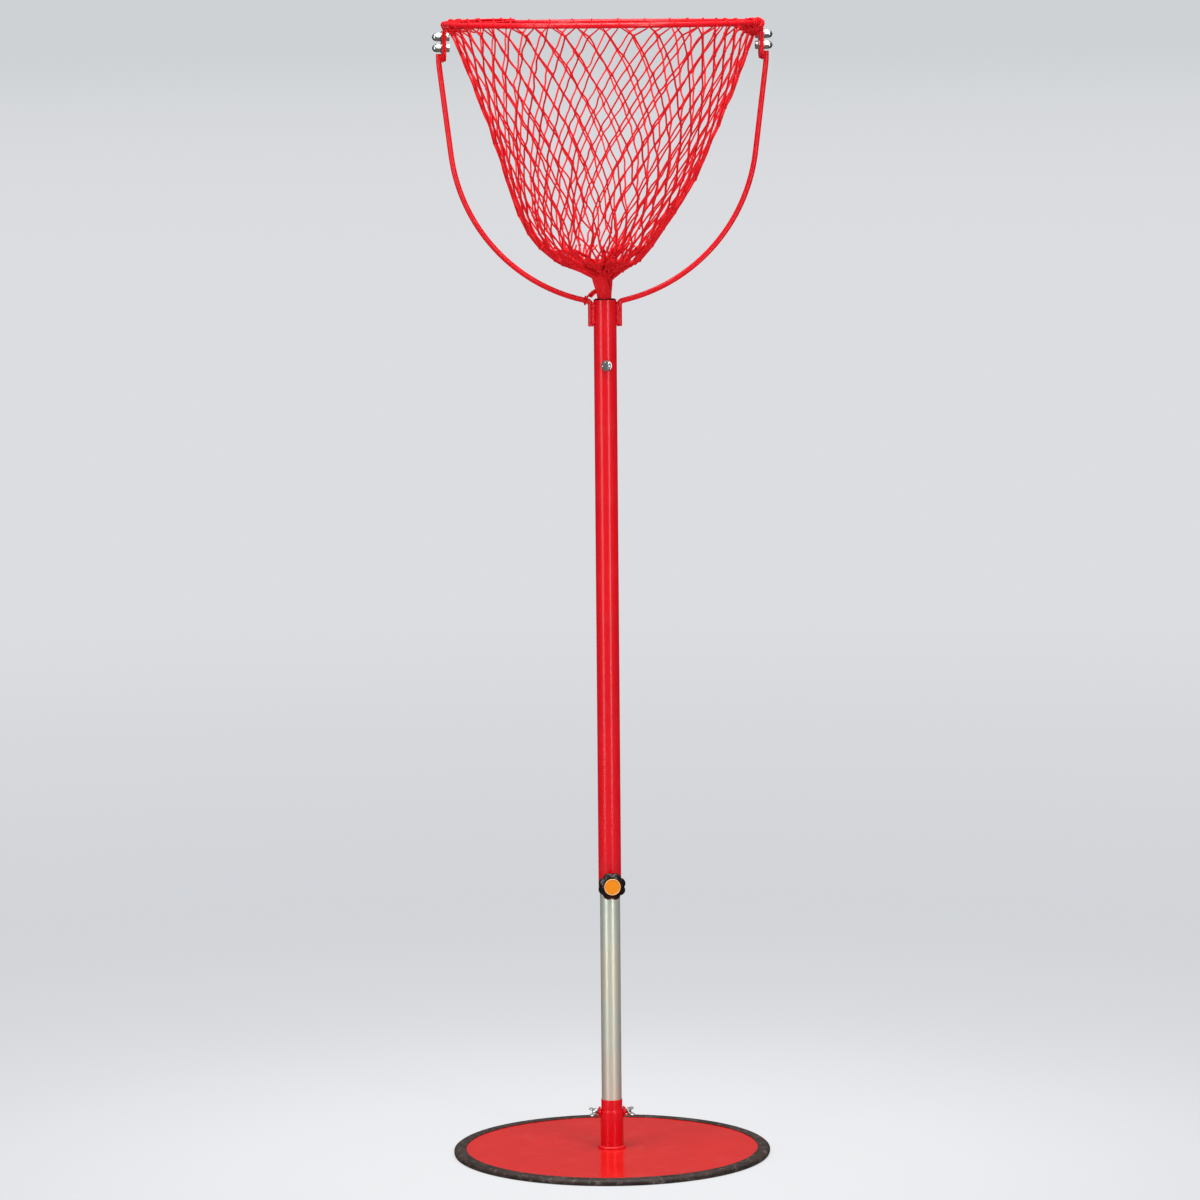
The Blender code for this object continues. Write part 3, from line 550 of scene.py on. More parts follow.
GREY_PLASTIC = material("grey_bush_plastic", MOULDED, {
    "Body": colour(0.09, 0.09, 0.09), "Rubbed": colour(0.14, 0.14, 0.14), "Dusty": 0.1,
    "Base Roughness": 0.45, "Grain Scale": 1100.0,
}, 0.15, 0.0002)

NET_CORD = material("red_net_cord", CORD_LAY, {
    "Cord": colour(0.78, 0.004, 0.011), "Shadow": colour(0.48, 0.003, 0.007),
    "Faded": colour(0.84, 0.020, 0.028), "Lay": 0.012,
}, 0.6, 0.0004, surface_map=True, Specular_IOR_Level=0.2)

BASE_RED = RED_PAINT, "base", "red_paint"
POLE_RED = RED_PAINT, "upper_pole", "red_paint"
POLE_ZINC = BRIGHT_ZINC, "upper_pole", "bright_zinc"


# ---------------------------------------------------------------- base

def make_base():
    """Painted plate, pressed-on rubber edge, socket tube with its weld bead, and two welded nuts."""
    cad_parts["base_plate"].data.materials.clear()
    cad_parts["base_plate"].data.materials.append(PLATE_PAINT)

    edge_width, foot = 0.020, 0.0017
    inner = BASE_RADIUS - edge_width
    groove, ceiling = PLATE_RADIUS + GAP, PLATE_TOP + GAP
    profile = rounded([
        (inner + 0.0006, EDGE_TOP - 0.0006),
        (inner + 0.0035, EDGE_TOP),
        (BASE_RADIUS - 0.0050, EDGE_TOP),
        (BASE_RADIUS - 0.0004, EDGE_TOP - 0.0030),
        (BASE_RADIUS, 0.0042),
        (BASE_RADIUS - 0.0012, 0.0),
        (inner, 0.0),
        (inner, foot),
        (groove, foot),
        (groove, ceiling),
        (inner, ceiling),
    ], 0.0016, 5, closed=True)

    def wavy(a, r, h):
        """The pressed-on edge wanders: its lip by 0.35 mm on long waves and 0.12 mm on short ones."""
        share = np.clip((BASE_RADIUS - r) / edge_width, 0, 1) * (h > ceiling + 0.0002)
        long_wave = np.sin(5 * a + 0.6) + 0.6 * np.sin(11 * a + 2.0)
        return share * (0.00035 * long_wave + 0.00012 * np.sin(37 * a))

    piece("rubber_edge", [turned(profile, 256, True, wavy)], EDGE_RUBBER, "base", "edge_rubber",
          ["edge_trim"])

    body, neck, bore, shoulder = 0.0183, 0.0168, 0.0162, 0.069
    tube = rounded([
        (neck, SOCKET_TOP), (neck, shoulder + 0.0012), (body, shoulder - 0.0018),
        (body, SOCKET_FOOT), (bore, SOCKET_FOOT), (bore, SOCKET_TOP),
    ], 0.0006, 4, closed=True)
    piece("socket_tube", [turned(tube, 96, True)], *BASE_RED, ["base_socket"])
    bead_size, sunk = 0.0030, 0.0012
    a = np.linspace(0, TURN, 181)[:-1]
    swell = bead_size * (1 + 0.10 * np.abs(np.sin(22 * a)) + 0.05 * np.sin(7 * a))
    bead = swept(polar(body + sunk, a, SOCKET_FOOT + sunk), swell, 12, UP, loop=True)
    piece("socket_weld_bead", [bead], *BASE_RED)
    for side, sign in (("left", -1), ("right", 1)):
        node = "socket_nut_" + side
        low, high = span(node, X)
        face = min(abs(low), abs(high))
        nut = hex_body(abs(high - low), HOLE_RADIUS, origin=(sign * face, 0, WING_HEIGHT),
                       axis=RIGHT * sign, first=UP)
        a = np.linspace(0, TURN, 73)[:-1]
        weld_ring, weld_size = 0.0072, 0.0014
        weld = np.stack([np.full(72, sign * (face + 0.0004)), weld_ring * np.cos(a),
                         WING_HEIGHT + weld_ring * np.sin(a)], -1)
        fillet = swept(weld, weld_size * (1 + 0.12 * np.sin(9 * a)), 10, RIGHT, loop=True)
        piece(node + "_welded", [nut, fillet], *BASE_RED, [node])


def make_wing_bolt(side, sign):
    """Cast wing bolt: threaded shank, tapered hub and two ears. An ear is an oval section carried
    along a short arc, wide at its tip, where its half-widths close to nothing as sqrt(1 - t^2)."""
    node = "wing_bolt_" + side
    low, high = span(node, X)
    tip = low if sign > 0 else high
    hub_start = sign * (span("socket_nut_right", X)[1] + 0.0025)
    where = {"origin": (hub_start, 0, WING_HEIGHT), "axis": RIGHT * sign, "first": UP}
    hub_length = 0.0065
    hub = rounded([(0.0, 0.0), (0.0062, 0.0), (0.0059, 0.0018), (0.0042, hub_length),
                   (0.0, hub_length)], 0.0008, 4)
    parts = [turned(hub, 48, **where), thread(0.0010, abs(tip) - abs(hub_start), **where)]
    tilt = math.radians(20)
    ear_way = np.array((0.0, math.cos(tilt), math.sin(tilt)))
    axis = RIGHT * sign
    t = np.linspace(0, 1, 22)
    a = np.arange(20) / 20 * TURN
    round_tip = np.sqrt(np.clip(1 - ((t - 0.66) / 0.34).clip(0, 1) ** 2, 0.0004, 1))
    width = (0.0026 + 0.0011 * np.sin(np.clip(t / 0.7, 0, 1) * math.pi / 2)) * round_tip
    thick = 0.0013 * np.minimum(round_tip * 1.2, 1)
    for flip in (-1, 1):
        out = 0.0025 + 0.0094 * t ** 0.9
        rise = 0.0026 + 0.0080 * t ** 1.25
        path = (np.array((hub_start, 0, WING_HEIGHT)) + out[:, None] * ear_way * flip
                + rise[:, None] * axis)
        flat_way = np.cross(axis, ear_way * flip)
        normal = unit(np.cross(flat_way, unit(np.gradient(path, axis=0))))
        grid = (path[:, None] + (width[:, None] * np.cos(a))[..., None] * normal[:, None]
                + (thick[:, None] * np.sin(a))[..., None] * flat_way)
        parts.append(surface(grid))
    piece(node + "_cast", parts, BRIGHT_ZINC, "wing_" + side, "bright_zinc", [node])


# ---------------------------------------------------------------- pole

def tube_piece(name, radius, bottom, top, paint, body, slot, node):
    """A drawn tube with slightly rounded ends: a closed profile turned about the pole's axis. A long
    side is divided every 50 mm."""
    bore = radius - TUBE_WALL
    profile = rounded([(radius, top), (radius, bottom), (bore, bottom), (bore, top)], 0.0004, 4,
                      closed=True)
    rows = [profile[0]]
    for a, b in zip(profile, np.roll(profile, -1, axis=0)):
        steps = max(int(np.linalg.norm(b - a) / 0.05), 1)
        rows += [a + (b - a) * k / steps for k in range(1, steps + 1)]
    return piece(name, [turned(np.array(rows[:-1]), 96, True)], paint, body, slot, [node])


def make_pole():
    """Both tubes, a near-black ring in the upper tube's mouth that is painted shade for the dark inside of
    the tube, and the finish of plug and bush.
    """
    tube_piece("plated_lower_tube", LOWER_RADIUS, LOWER_BOTTOM, LOWER_TOP, ZINC_TUBE,
               "lower_pole", "zinc_tube", "lower_tube")
    tube_piece("painted_upper_tube", UPPER_RADIUS, UPPER_BOTTOM, UPPER_TOP, *POLE_RED, "upper_tube")
    # painted shade: a near-black ring that stands 1.2 mm above the rim, put where the tube's mouth is in
    # shade
    outer, inner = 0.0163, 0.0149
    top, bottom = UPPER_TOP + 0.0012, UPPER_TOP - 0.030
    shade_ring = rounded([(outer, top), (outer, bottom), (inner, bottom), (inner, top)], 0.0004, 4,
                     closed=True)
    piece("upper_tube_mouth_painted_shade", [turned(shade_ring, 64, True)], MOUTH_PAINTED_SHADE, "upper_pole", "black_plastic")
    for node in ("foot_plug", "guide_bush"):
        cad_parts[node].data.materials.clear()
        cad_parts[node].data.materials.append(GREY_PLASTIC)


def make_stop_bolt():
    """M8 hexagon bolt through the tube that stops the lower tube's top, with washers and a nut."""
    for end, way in (("front", -1), ("rear", 1)):
        node = "stop_washer_" + end
        low, high = span(node, Y)
        face = low if way > 0 else high
        ring = washer_ring(WASHER_RADIUS, high - low, origin=(0, face, STOP_HEIGHT),
                           axis=-FRONT * way, first=UP)
        piece(node + "_plain", [ring], *POLE_ZINC, [node])
    low, high = span("stop_bolt", Y)
    seat = span("stop_washer_front", Y)[0] - GAP
    where = {"origin": (0, seat, STOP_HEIGHT), "axis": FRONT, "first": UP}
    height = seat - low
    head = hex_body(height, 0, (False, True), **where)
    mark = turned(rounded([(0.0030, height - GAP), (0.0036, height + 0.00004), (0.0042, height - GAP)],
                          0.0002, 3, closed=True), 48, True, **where)
    shank = thread(0.0008, seat - high, **where)
    piece("stop_bolt_hex", [head, mark, shank], *POLE_ZINC, ["stop_bolt"])
    low, high = span("stop_nut", Y)
    nut = hex_body(high - low, 0.0042, origin=(0, low, STOP_HEIGHT), axis=-FRONT, first=UP)
    piece("stop_nut_hex", [nut], *POLE_ZINC, ["stop_nut"])


# ---------------------------------------------------------------- clamp

def make_clamp():
    """Boss welded on the tube, washer, lobed knob with its cap and a pale rim round the cap that is a
    painted highlight, and the threaded stud.
    """
    low, high = span("clamp_boss", Y)
    where = {"origin": (0, high, CLAMP_HEIGHT), "axis": FRONT, "first": RIGHT}
    length = high - low
    boss_radius, seam_radius, seam_size = 0.0082, 0.0086, 0.0017
    boss = turned(rounded([(boss_radius, 0), (boss_radius, length), (HOLE_RADIUS, length),
                           (HOLE_RADIUS, 0)], 0.0007, 4, closed=True), 64, True, **where)
    a = np.linspace(0, TURN, 97)[:-1]
    x = seam_radius * np.cos(a)
    depth = np.sqrt(UPPER_RADIUS ** 2 - x ** 2)
    seam = np.stack([x, -depth - 0.0006, CLAMP_HEIGHT + seam_radius * np.sin(a)], -1)
    bead = swept(seam, seam_size * (1 + 0.12 * np.abs(np.sin(13 * a))), 10, FRONT, loop=True)
    piece("clamp_boss_welded", [boss, bead], *POLE_RED, ["clamp_boss"])

    low, high = span("clamp_washer", Y)
    ring = washer_ring(WASHER_RADIUS, high - low, origin=(0, high, CLAMP_HEIGHT), axis=FRONT,
                       first=UP)
    piece("clamp_washer_plain", [ring], BRIGHT_ZINC, "washer", "bright_zinc", ["clamp_washer"])

    low, high = span("clamp_knob", Y)
    where = {"origin": (0, high, CLAMP_HEIGHT), "axis": FRONT, "first": RIGHT}
    back, front = 0.004, high - low
    lobe_radius, lobe_depth, lobes, phase = 0.0222, 0.0031, 8, math.radians(20)
    recess_radius, recess = 0.0134, front - 0.0018
    profile = rounded([
        (HOLE_RADIUS, 0.0), (0.0098, 0.0), (0.0104, back), (lobe_radius, back),
        (lobe_radius, front - 0.0044), (0.0160, front - 0.0008), (0.0140, front),
        (recess_radius, front), (recess_radius, recess), (0.0, recess),
    ], 0.0022, 7)
    profile[:, 0] = np.maximum(profile[:, 0], 0.0002)

    def lobed(a, r, h):
        """Broad lobes, narrow notches: the rim follows |cos(4 (a - phase))| ^ 0.7 and fades inward."""
        share = np.clip((r - 0.0135) / (lobe_radius - 0.0135), 0, 1) ** 1.5
        wave = np.abs(np.cos(lobes / 2 * (a - phase))) ** 0.7
        return -lobe_depth * share * (1 - wave)

    knob = turned(profile, 192, False, lobed, **where)
    piece("clamp_knob_lobed", [knob], BLACK_KNOB, "knob", "black_plastic", ["clamp_knob"], sharp=50)

    low, high = span("knob_cap", Y)
    where["origin"] = (0, high, CLAMP_HEIGHT)
    height = high - low
    cap_radius = 0.0112
    cap = rounded([(0.0, 0.0), (cap_radius, 0.0), (cap_radius, height - 0.0008),
                   (0.0, height - 0.0010)], 0.0003, 4)
    # painted highlight: the ring round the cap is coloured pale for the light its edge catches
    rim = rounded([(0.0114, 0.0), (0.0130, 0.0), (0.0130, height - 0.0004), (0.0124, height),
                   (0.0117, height), (0.0114, height - 0.0008)], 0.0004, 4, closed=True)
    piece("knob_cap_orange", [turned(cap, 96, **where)], ORANGE_CAP, "knob", "orange_plastic",
          ["knob_cap"])
    piece("knob_cap_rim_painted_highlight", [turned(rim, 96, True, **where)], RIM_PAINTED_HIGHLIGHT, "knob", "orange_plastic")
    low, high = span("clamp_stud", Y)
    stud = thread(0.0, high - low, origin=(0, high, CLAMP_HEIGHT), axis=FRONT, first=UP)
    piece("clamp_stud_threaded", [stud], BRIGHT_ZINC, "knob", "bright_zinc", ["clamp_stud"])


# ---------------------------------------------------------------- yoke

LEG_X = span("yoke_arm_right", X)[0] + BAR_RADIUS
LEG_BOTTOM, ARM_TOP = span("yoke_arm_right", Z)
ROD_KINK = 1.735
ROD_TOP_X = span("yoke_arm_right", X)[1] - BAR_RADIUS


def arm_path(sign):
    """The arm's centre line: up, round a 7 mm bend, along one large arc from 12 to 83 degrees of
    rise, then straight to the kink and up. The large radius is what makes the ends meet. Three passes
    of (1, 2, 1) / 4 soften the joins."""
    start, end = math.radians(12), math.radians(83)
    bend_radius, bend_height = 0.0070, 1.3545
    a = np.linspace(math.pi, math.pi - (math.pi / 2 - start), 14)
    bend = np.stack([LEG_X + bend_radius + bend_radius * np.cos(a),
                     bend_height + bend_radius * np.sin(a)], -1)
    x0, z0 = bend[-1]
    sine, cosine = math.sin(end) - math.sin(start), math.cos(start) - math.cos(end)
    lean = 1 / math.tan(end)
    big = (ROD_TOP_X - x0 - (ROD_KINK - z0) * lean) / (sine - cosine * lean)
    b = np.linspace(start, end, 70)[1:]
    sweep = np.stack([x0 + big * (np.sin(b) - math.sin(start)),
                      z0 + big * (math.cos(start) - np.cos(b))], -1)
    leg = np.stack([np.full(12, LEG_X), np.linspace(LEG_BOTTOM, bend_height, 13)[:-1]], -1)
    s = np.linspace(0, 1, 24)[1:, None]
    straight = sweep[-1] + (np.array((ROD_TOP_X, ROD_KINK)) - sweep[-1]) * s
    top = np.stack([np.full(6, ROD_TOP_X), np.linspace(ROD_KINK, ARM_TOP, 7)[1:]], -1)
    plane = np.concatenate([leg, bend, sweep, straight, top])
    smooth = plane.copy()
    for _ in range(3):
        smooth[1:-1] = (smooth[:-2] + 2 * smooth[1:-1] + smooth[2:]) / 4
    smooth[0], smooth[-1] = plane[0], plane[-1]
    return np.stack([sign * smooth[:, 0], np.zeros(len(smooth)), smooth[:, 1]], -1)


def rounded_rod(path, radius, sides, reference):
    """A bar with softened ends: its radius closes by 0.7 mm over the last 0.9 mm as a quarter
    round."""
    length = walked(path)
    cut = np.array((0.0, 0.0002, 0.0005, 0.0009))
    extra = np.concatenate([cut, length[-1] - cut[::-1]])
    places = np.unique(np.concatenate([extra, length]))
    dense = np.stack([np.interp(places, length, path[:, k]) for k in range(3)], -1)
    edge = np.minimum(places, length[-1] - places)
    r = radius - 0.0007 * (1 - np.sqrt(np.clip(1 - (1 - edge / 0.0009).clip(0, 1) ** 2, 0, 1)))
    return swept(dense, r, sides, reference)


def bracket_plate(node, corner):
    """Flat bracket plate, round below, with softened edges. Its outline is carried inward in rows;
    the outermost rows step round the edge as a quarter circle."""
    low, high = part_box(node)
    half = (high.y - low.y) / 2
    bottom, top = low.z, high.z
    a = np.linspace(0, -math.pi, 33)
    lower = np.stack([half * np.cos(a), bottom + half + half * np.sin(a)], -1)
    a = np.linspace(math.pi, math.pi / 2, 7)
    left_top = np.stack([corner * np.cos(a) + corner - half, top - corner + corner * np.sin(a)], -1)
    outline = np.concatenate([lower, left_top, left_top[::-1] * (-1, 1)])
    centre = outline.mean(axis=0)
    thick = (high.x - low.x) / 2
    edge = 0.0006
    q = np.linspace(0, math.pi / 2, 5)
    inset = np.concatenate([edge * (1 - np.sin(q)), edge * (1 - np.cos(q))])
    depth = np.concatenate([thick - edge * (1 - np.cos(q)), -(thick - edge * (1 - np.sin(q)))])
    way = unit(outline - centre)
    rows = outline[None] - inset[:, None, None] * way[None]
    x = (low.x + high.x) / 2 + np.broadcast_to(depth[:, None], rows.shape[:2])
    return surface(np.stack([x, rows[..., 0], rows[..., 1]], -1))


def arm_welds(sign):
    """Beads along both sides of three joints: the leg on the tube, the rod's end on its bracket plate
    and the hoop on its plate. The leg's beads wander by 0.4 mm."""
    seam_x = UPPER_RADIUS * 0.955 + 0.0008
    small, large = 0.0016, 0.0027
    plate_face = span("arm_plate_right", X)[1]
    hoop_plate_top = span("hoop_plate_right", Z)[1]
    beads = []
    for way in (-1, 1):
        z = np.linspace(LEG_BOTTOM + 0.003, UPPER_TOP - 0.004, 70)
        wander = 0.0004 * np.sin(z * 700 + way + sign)
        seam = np.stack([sign * (seam_x + 0.0012 + wander), np.full(70, way * 0.0056), z], -1)
        size = large + 0.0005 * np.sin(z * 480 + sign)
        beads.append(ripple_bead(seam, size, RIGHT * sign, 0.0042))
        z = np.linspace(ROD_KINK + 0.0022, ARM_TOP - 0.001, 30)
        x = np.full(30, sign * (plate_face + 0.0009))
        seam = np.stack([x, np.full(30, way * 0.0034), z], -1)
        beads.append(ripple_bead(seam, small, RIGHT * sign))
        x = np.full(40, sign * (HOOP_RADIUS + way * 0.0022))
        seam = np.stack([x, np.linspace(-0.0115, 0.0115, 40), np.full(40, hoop_plate_top - 0.0002)], -1)
        beads.append(ripple_bead(seam, small, UP))
    return beads


def bracket_fastenings(tag, sign):
    """One bracket bolt with its washer and cap nut. The nut's dome is a turned, rounded outline."""
    low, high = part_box("bracket_washer_" + tag)
    height = (low.z + high.z) / 2
    inner = min(abs(low.x), abs(high.x))
    where = {"origin": (sign * inner, 0, height), "axis": RIGHT * sign, "first": UP}
    ring = washer_ring(WASHER_RADIUS - 0.0002, high.x - low.x, **where)
    piece("bracket_washer_plain_" + tag, [ring], *POLE_ZINC, ["bracket_washer_" + tag])
    low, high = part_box("bracket_nut_" + tag)
    inner, outer = min(abs(low.x), abs(high.x)), max(abs(low.x), abs(high.x))
    where["origin"] = (sign * inner, 0, height)
    dome = rounded([(0.0, 0.0042), (0.0061, 0.0052), (0.0061, 0.0082), (0.0046, 0.0116),
                    (0.0, outer - inner)], 0.0030, 8)
    nut = [hex_body(0.0066, **where), turned(dome, 48, **where)]
    piece("bracket_cap_nut_" + tag, nut, *POLE_ZINC, ["bracket_nut_" + tag])
    low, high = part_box("bracket_bolt_" + tag)
    seat = HOOP_RADIUS - 0.0015 - GAP
    where = {"origin": (sign * seat, 0, height), "axis": -RIGHT * sign, "first": UP}
    inmost, outmost = min(abs(low.x), abs(high.x)), max(abs(low.x), abs(high.x))
    bolt = [hex_body(seat - inmost, 0, (False, True), **where), thread(0.0008, seat - outmost, **where)]
    piece("bracket_bolt_hex_" + tag, bolt, *POLE_ZINC, ["bracket_bolt_" + tag])


def make_yoke():
    """Both arms with their bracket plates, weld beads and fastenings."""
    for side, sign in (("left", -1), ("right", 1)):
        path = arm_path(sign)
        rod = rounded_rod(path, BAR_RADIUS, 28, -FRONT)
        piece("bent_arm_" + side, [rod], *POLE_RED, ["yoke_arm_" + side])
        for node, corner in (("arm_plate_" + side, 0.003), ("hoop_plate_" + side, 0.001)):
            piece(node + "_cut", [bracket_plate(node, corner)], *POLE_RED, [node])
        piece("arm_welds_" + side, arm_welds(sign), *POLE_RED)

        for level in ("upper", "lower"):
            bracket_fastenings(side + "_" + level, sign)


def make_hoop():
    """Bent bar closed by one butt weld at the back, where the bar swells by 0.5 mm."""
    a = np.linspace(0, TURN, 321)[:-1]
    path = polar(HOOP_RADIUS, a, HOOP_HEIGHT)
    weld = np.exp(-((a - math.radians(80)) / 0.012) ** 2)
    bar = swept(path, BAR_RADIUS + 0.0005 * weld, 20, UP, loop=True)
    piece("hoop_bar", [bar], *POLE_RED, ["hoop_ring"])


# ---------------------------------------------------------------- net

MESHES = 46
MESH_BAR = 0.032
CORD = 0.00140
NET_RIM = HOOP_HEIGHT - BAR_RADIUS - 0.0006
RIM_RADIUS = 0.2400
CONE_BOTTOM, CONE_RADIUS = 1.557, 0.1505
BOWL_BOTTOM = 1.402
TAIL_HEIGHTS = (1.352, 1.364, 1.374, 1.388, 1.402)
TAIL_RADII = (0.0108, 0.0116, 0.0128, 0.0158, 0.0178)
LEAN_HEIGHTS = (1.360, 1.395, 1.420, 1.456, 1.482, 1.519, 1.557, 1.594, 1.632, 1.669, 1.706, 1.790)
LEAN = (0.0, -0.004, -0.010, -0.0155, -0.0140, -0.0086, -0.0034, -0.0012, 0.0005, 0.0018, 0.0028, 0.0)


def net_profile():
    """Side view of the hanging bag as (radius, height): a cone, then a bowl where the radius is the
    cone's end radius times (height share) ^ 0.42, then the gathered tail that enters the tube."""
    cone_z = np.linspace(NET_RIM, CONE_BOTTOM, 80)
    narrowing = (RIM_RADIUS - CONE_RADIUS) * (NET_RIM - cone_z) / (NET_RIM - CONE_BOTTOM)
    cone = np.stack([RIM_RADIUS - narrowing, cone_z], -1)
    share = np.linspace(1, 0, 160)[1:] ** 2.2
    bowl = np.stack([CONE_RADIUS * share ** 0.42, BOWL_BOTTOM + (CONE_BOTTOM - BOWL_BOTTOM) * share], -1)
    bowl = bowl[bowl[:, 0] > 0.0175]
    tail_z = np.linspace(BOWL_BOTTOM - 0.001, TAIL_HEIGHTS[0], 30)
    tail = np.stack([np.interp(tail_z, TAIL_HEIGHTS, TAIL_RADII), tail_z], -1)
    return np.concatenate([cone, bowl, tail])


def net_rows(profile):
    """Place along the profile of each row of knots. Rows are sqrt(bar^2 - (pi r / meshes)^2) apart,
    the height of a diamond mesh whose bars keep their length as the bag narrows."""
    length = walked(profile)
    end = length[np.argmax(profile[:, 1] < BOWL_BOTTOM)] - 0.004
    rows = [0.022]
    while rows[-1] < end:
        radius = np.interp(rows[-1] + MESH_BAR / 2, length, profile[:, 0])
        rows.append(rows[-1] + math.sqrt(MESH_BAR ** 2 - (math.pi * radius / MESHES) ** 2) * 0.985)
    return np.array(rows[:-1]), length


def hoop_angles(rng):
    """Angles where the top meshes hang on the hoop: even, but none at the brackets, gathered towards
    the right bracket, and each shifted a little."""
    half = np.linspace(5, 175, MESHES // 2)
    shift = rng.uniform(-1.3, 1.3, MESHES)
    angles = np.concatenate([half, 180 + half])
    sine, cosine = np.sin(np.radians(angles)), np.cos(np.radians(angles))
    gathered = angles - 9 * sine * np.exp(-((cosine - 0.55) / 0.45) ** 2) + shift
    rear = np.arange(MESHES) < MESHES // 2
    gathered = np.where(rear, np.clip(gathered, 4.6, 175.4), np.clip(gathered, 184.6, 355.4))
    return np.radians(np.sort(gathered))


def hang_net():
    """Knot places (row, mesh, xyz) of the hanging net. Knots start on the profile and are then
    relaxed: each bar of the mesh pulls its two knots to its own length, the hoop holds the top row,
    and each knot is drawn part of the way to the nearest point of the profile."""
    rng = np.random.default_rng(41)
    profile = net_profile()
    rows, length = net_rows(profile)
    count = len(rows)
    hooks = hoop_angles(rng)
    turn = np.unwrap(hooks)
    column = np.arange(MESHES)
    blend_down = np.clip(np.arange(count) / 9, 0, 1)[:, None]
    even_turn = column / MESHES * TURN + turn[0]
    even_row = (np.arange(count) % 2 == 0)[:, None]
    half_step = even_row * 0.5 * TURN / MESHES
    next_turn = np.append(turn[1:], turn[0] + TURN)
    top_turn = np.where(even_row, (turn + next_turn)[None] / 2, turn[None])
    angle = top_turn * (1 - blend_down) + (even_turn[None] + half_step) * blend_down
    r = np.interp(rows, length, profile[:, 0])[:, None]
    z = np.interp(rows, length, profile[:, 1])[:, None] + rng.normal(0, 0.0012, angle.shape)
    lean = np.interp(z, LEAN_HEIGHTS, LEAN)
    knots = np.stack([r * np.cos(angle) + lean, r * np.sin(angle), z], -1)

    ids = np.arange(count * MESHES).reshape(count, MESHES)
    pairs = []
    for k in range(count - 1):
        step = -1 if k % 2 else 1
        pairs += [np.stack([ids[k], ids[k + 1]], -1), np.stack([ids[k], np.roll(ids[k + 1], -step)], -1)]
    pairs = np.concatenate(pairs)
    own_length = MESH_BAR * (1 + rng.uniform(-0.04, 0.04, len(pairs)))
    hooks_at = polar(HOOP_RADIUS, turn, HOOP_HEIGHT)
    leg = 0.0250
    crease = rng.normal(0, 1, (count, MESHES))
    crease = (crease + np.roll(crease, 1, 1) + np.roll(crease, -1, 1)) / 1.7

    flat = knots.reshape(-1, 3)
    pull = np.zeros(len(flat))
    np.add.at(pull, pairs.ravel(), 1)
    pull[:MESHES] += 2
    for _ in range(160):
        move = np.zeros_like(flat)
        gap = flat[pairs[:, 1]] - flat[pairs[:, 0]]
        size = np.linalg.norm(gap, axis=1, keepdims=True)
        push = gap / size * (size - own_length[:, None]) / 2
        np.add.at(move, pairs[:, 0], push)
        np.add.at(move, pairs[:, 1], -push)
        for shift in (0, -1):
            gap = np.roll(hooks_at, shift, axis=0) - flat[:MESHES]
            size = np.linalg.norm(gap, axis=1, keepdims=True)
            move[:MESHES] += gap / size * np.maximum(size - leg, 0)
        flat = flat + 1.2 * move / pull[:, None]
        flat[:, 2] -= 0.00006
        lean = np.interp(flat[:, 2], LEAN_HEIGHTS, LEAN)
        out = flat[:, :2] - np.stack([lean, np.zeros(len(flat))], -1)
        radius = np.linalg.norm(out, axis=1)
        apart = ((radius[:, None] - profile[None, :, 0]) ** 2
                 + (flat[:, None, 2] - profile[None, :, 1]) ** 2)
        near = profile[np.argmin(apart, axis=1)]
        deep = np.clip((0.060 - near[:, 0]) / 0.040, 0, 1)
        wish = near[:, 0] - np.maximum(crease.ravel(), -0.4) * (0.0012 + 0.0010 * deep)
        flat[:, :2] += out / radius[:, None] * ((wish - radius) * 0.30)[:, None]
        leftward = np.clip(-out[:, 0] / radius, 0, 1)
        rise = (np.abs(crease.ravel()) * 0.010 + 0.009 * leftward) * deep
        flat[:, 2] += (near[:, 1] + rise - flat[:, 2]) * 0.30
    return flat.reshape(count, MESHES, 3), pairs, hooks_at, turn


def mesh_bars(knots, pairs, rng):
    """Each bar of the mesh: a cord from knot to knot whose path bows by (bow 4 t (1 - t) + s sin 2 pi t)
    to one side, and whose radius swells by 12% where it enters a knot."""
    start, end = knots[pairs[:, 0]], knots[pairs[:, 1]]
    t = np.linspace(0, 1, 7)
    way = end - start
    out = unit(start * (1, 1, 0) + 1e-9)
    side = unit(np.cross(way, out))
    bow = rng.normal(0, 0.0007, len(pairs))[:, None]
    ess = rng.normal(0, 0.00055, len(pairs))[:, None]
    inward = rng.normal(0, 0.0006, len(pairs))[:, None]
    path = start[:, None] + way[:, None] * t[None, :, None]
    path += (bow * 4 * t * (1 - t) + ess * np.sin(TURN * t))[..., None] * side[:, None]
    path += (inward * 4 * t * (1 - t))[..., None] * out[:, None]
    radius = CORD * (1 + 0.12 * (2 * t - 1) ** 6) * (1 + rng.normal(0, 0.03, (len(pairs), 1)))
    return swept(path, radius, 6, out[:, None] * np.ones((1, 7, 1)), batch=True)


def mesh_knots(knots, rng):
    """Sheet-bend knots: an ellipsoid, longer along the bag than across, whose radius is swelled by
    0.22 cos(2 a + 3 b) so that it looks wound, each turned by its own small angle."""
    places = knots.reshape(-1, 3)
    b = np.linspace(0.22, math.pi - 0.22, 6)[:, None]
    a = np.arange(8)[None] / 8 * TURN
    lump = 1 + 0.22 * np.cos(2 * a + 3 * b)
    shape = np.stack([np.sin(b) * np.cos(a) * lump, np.sin(b) * np.sin(a) * lump,
                      np.cos(b) * np.ones_like(a)], -1)
    out = unit(places * (1, 1, 0) + 1e-9)
    roll = rng.uniform(-0.7, 0.7, len(places))[:, None]
    across = np.stack([-out[:, 1], out[:, 0], np.zeros(len(out))], -1)
    down = np.cos(roll) * UP + np.sin(roll) * across
    across = np.cross(down, out)
    size = rng.uniform(0.88, 1.15, len(places))[:, None, None, None]
    grid = (shape[None, ..., 0:1] * across[:, None, None] * 0.0023
            + shape[None, ..., 1:2] * out[:, None, None] * 0.0020
            + shape[None, ..., 2:3] * down[:, None, None] * 0.0027)
    return surface(places[:, None, None] + grid * size, batch=True)


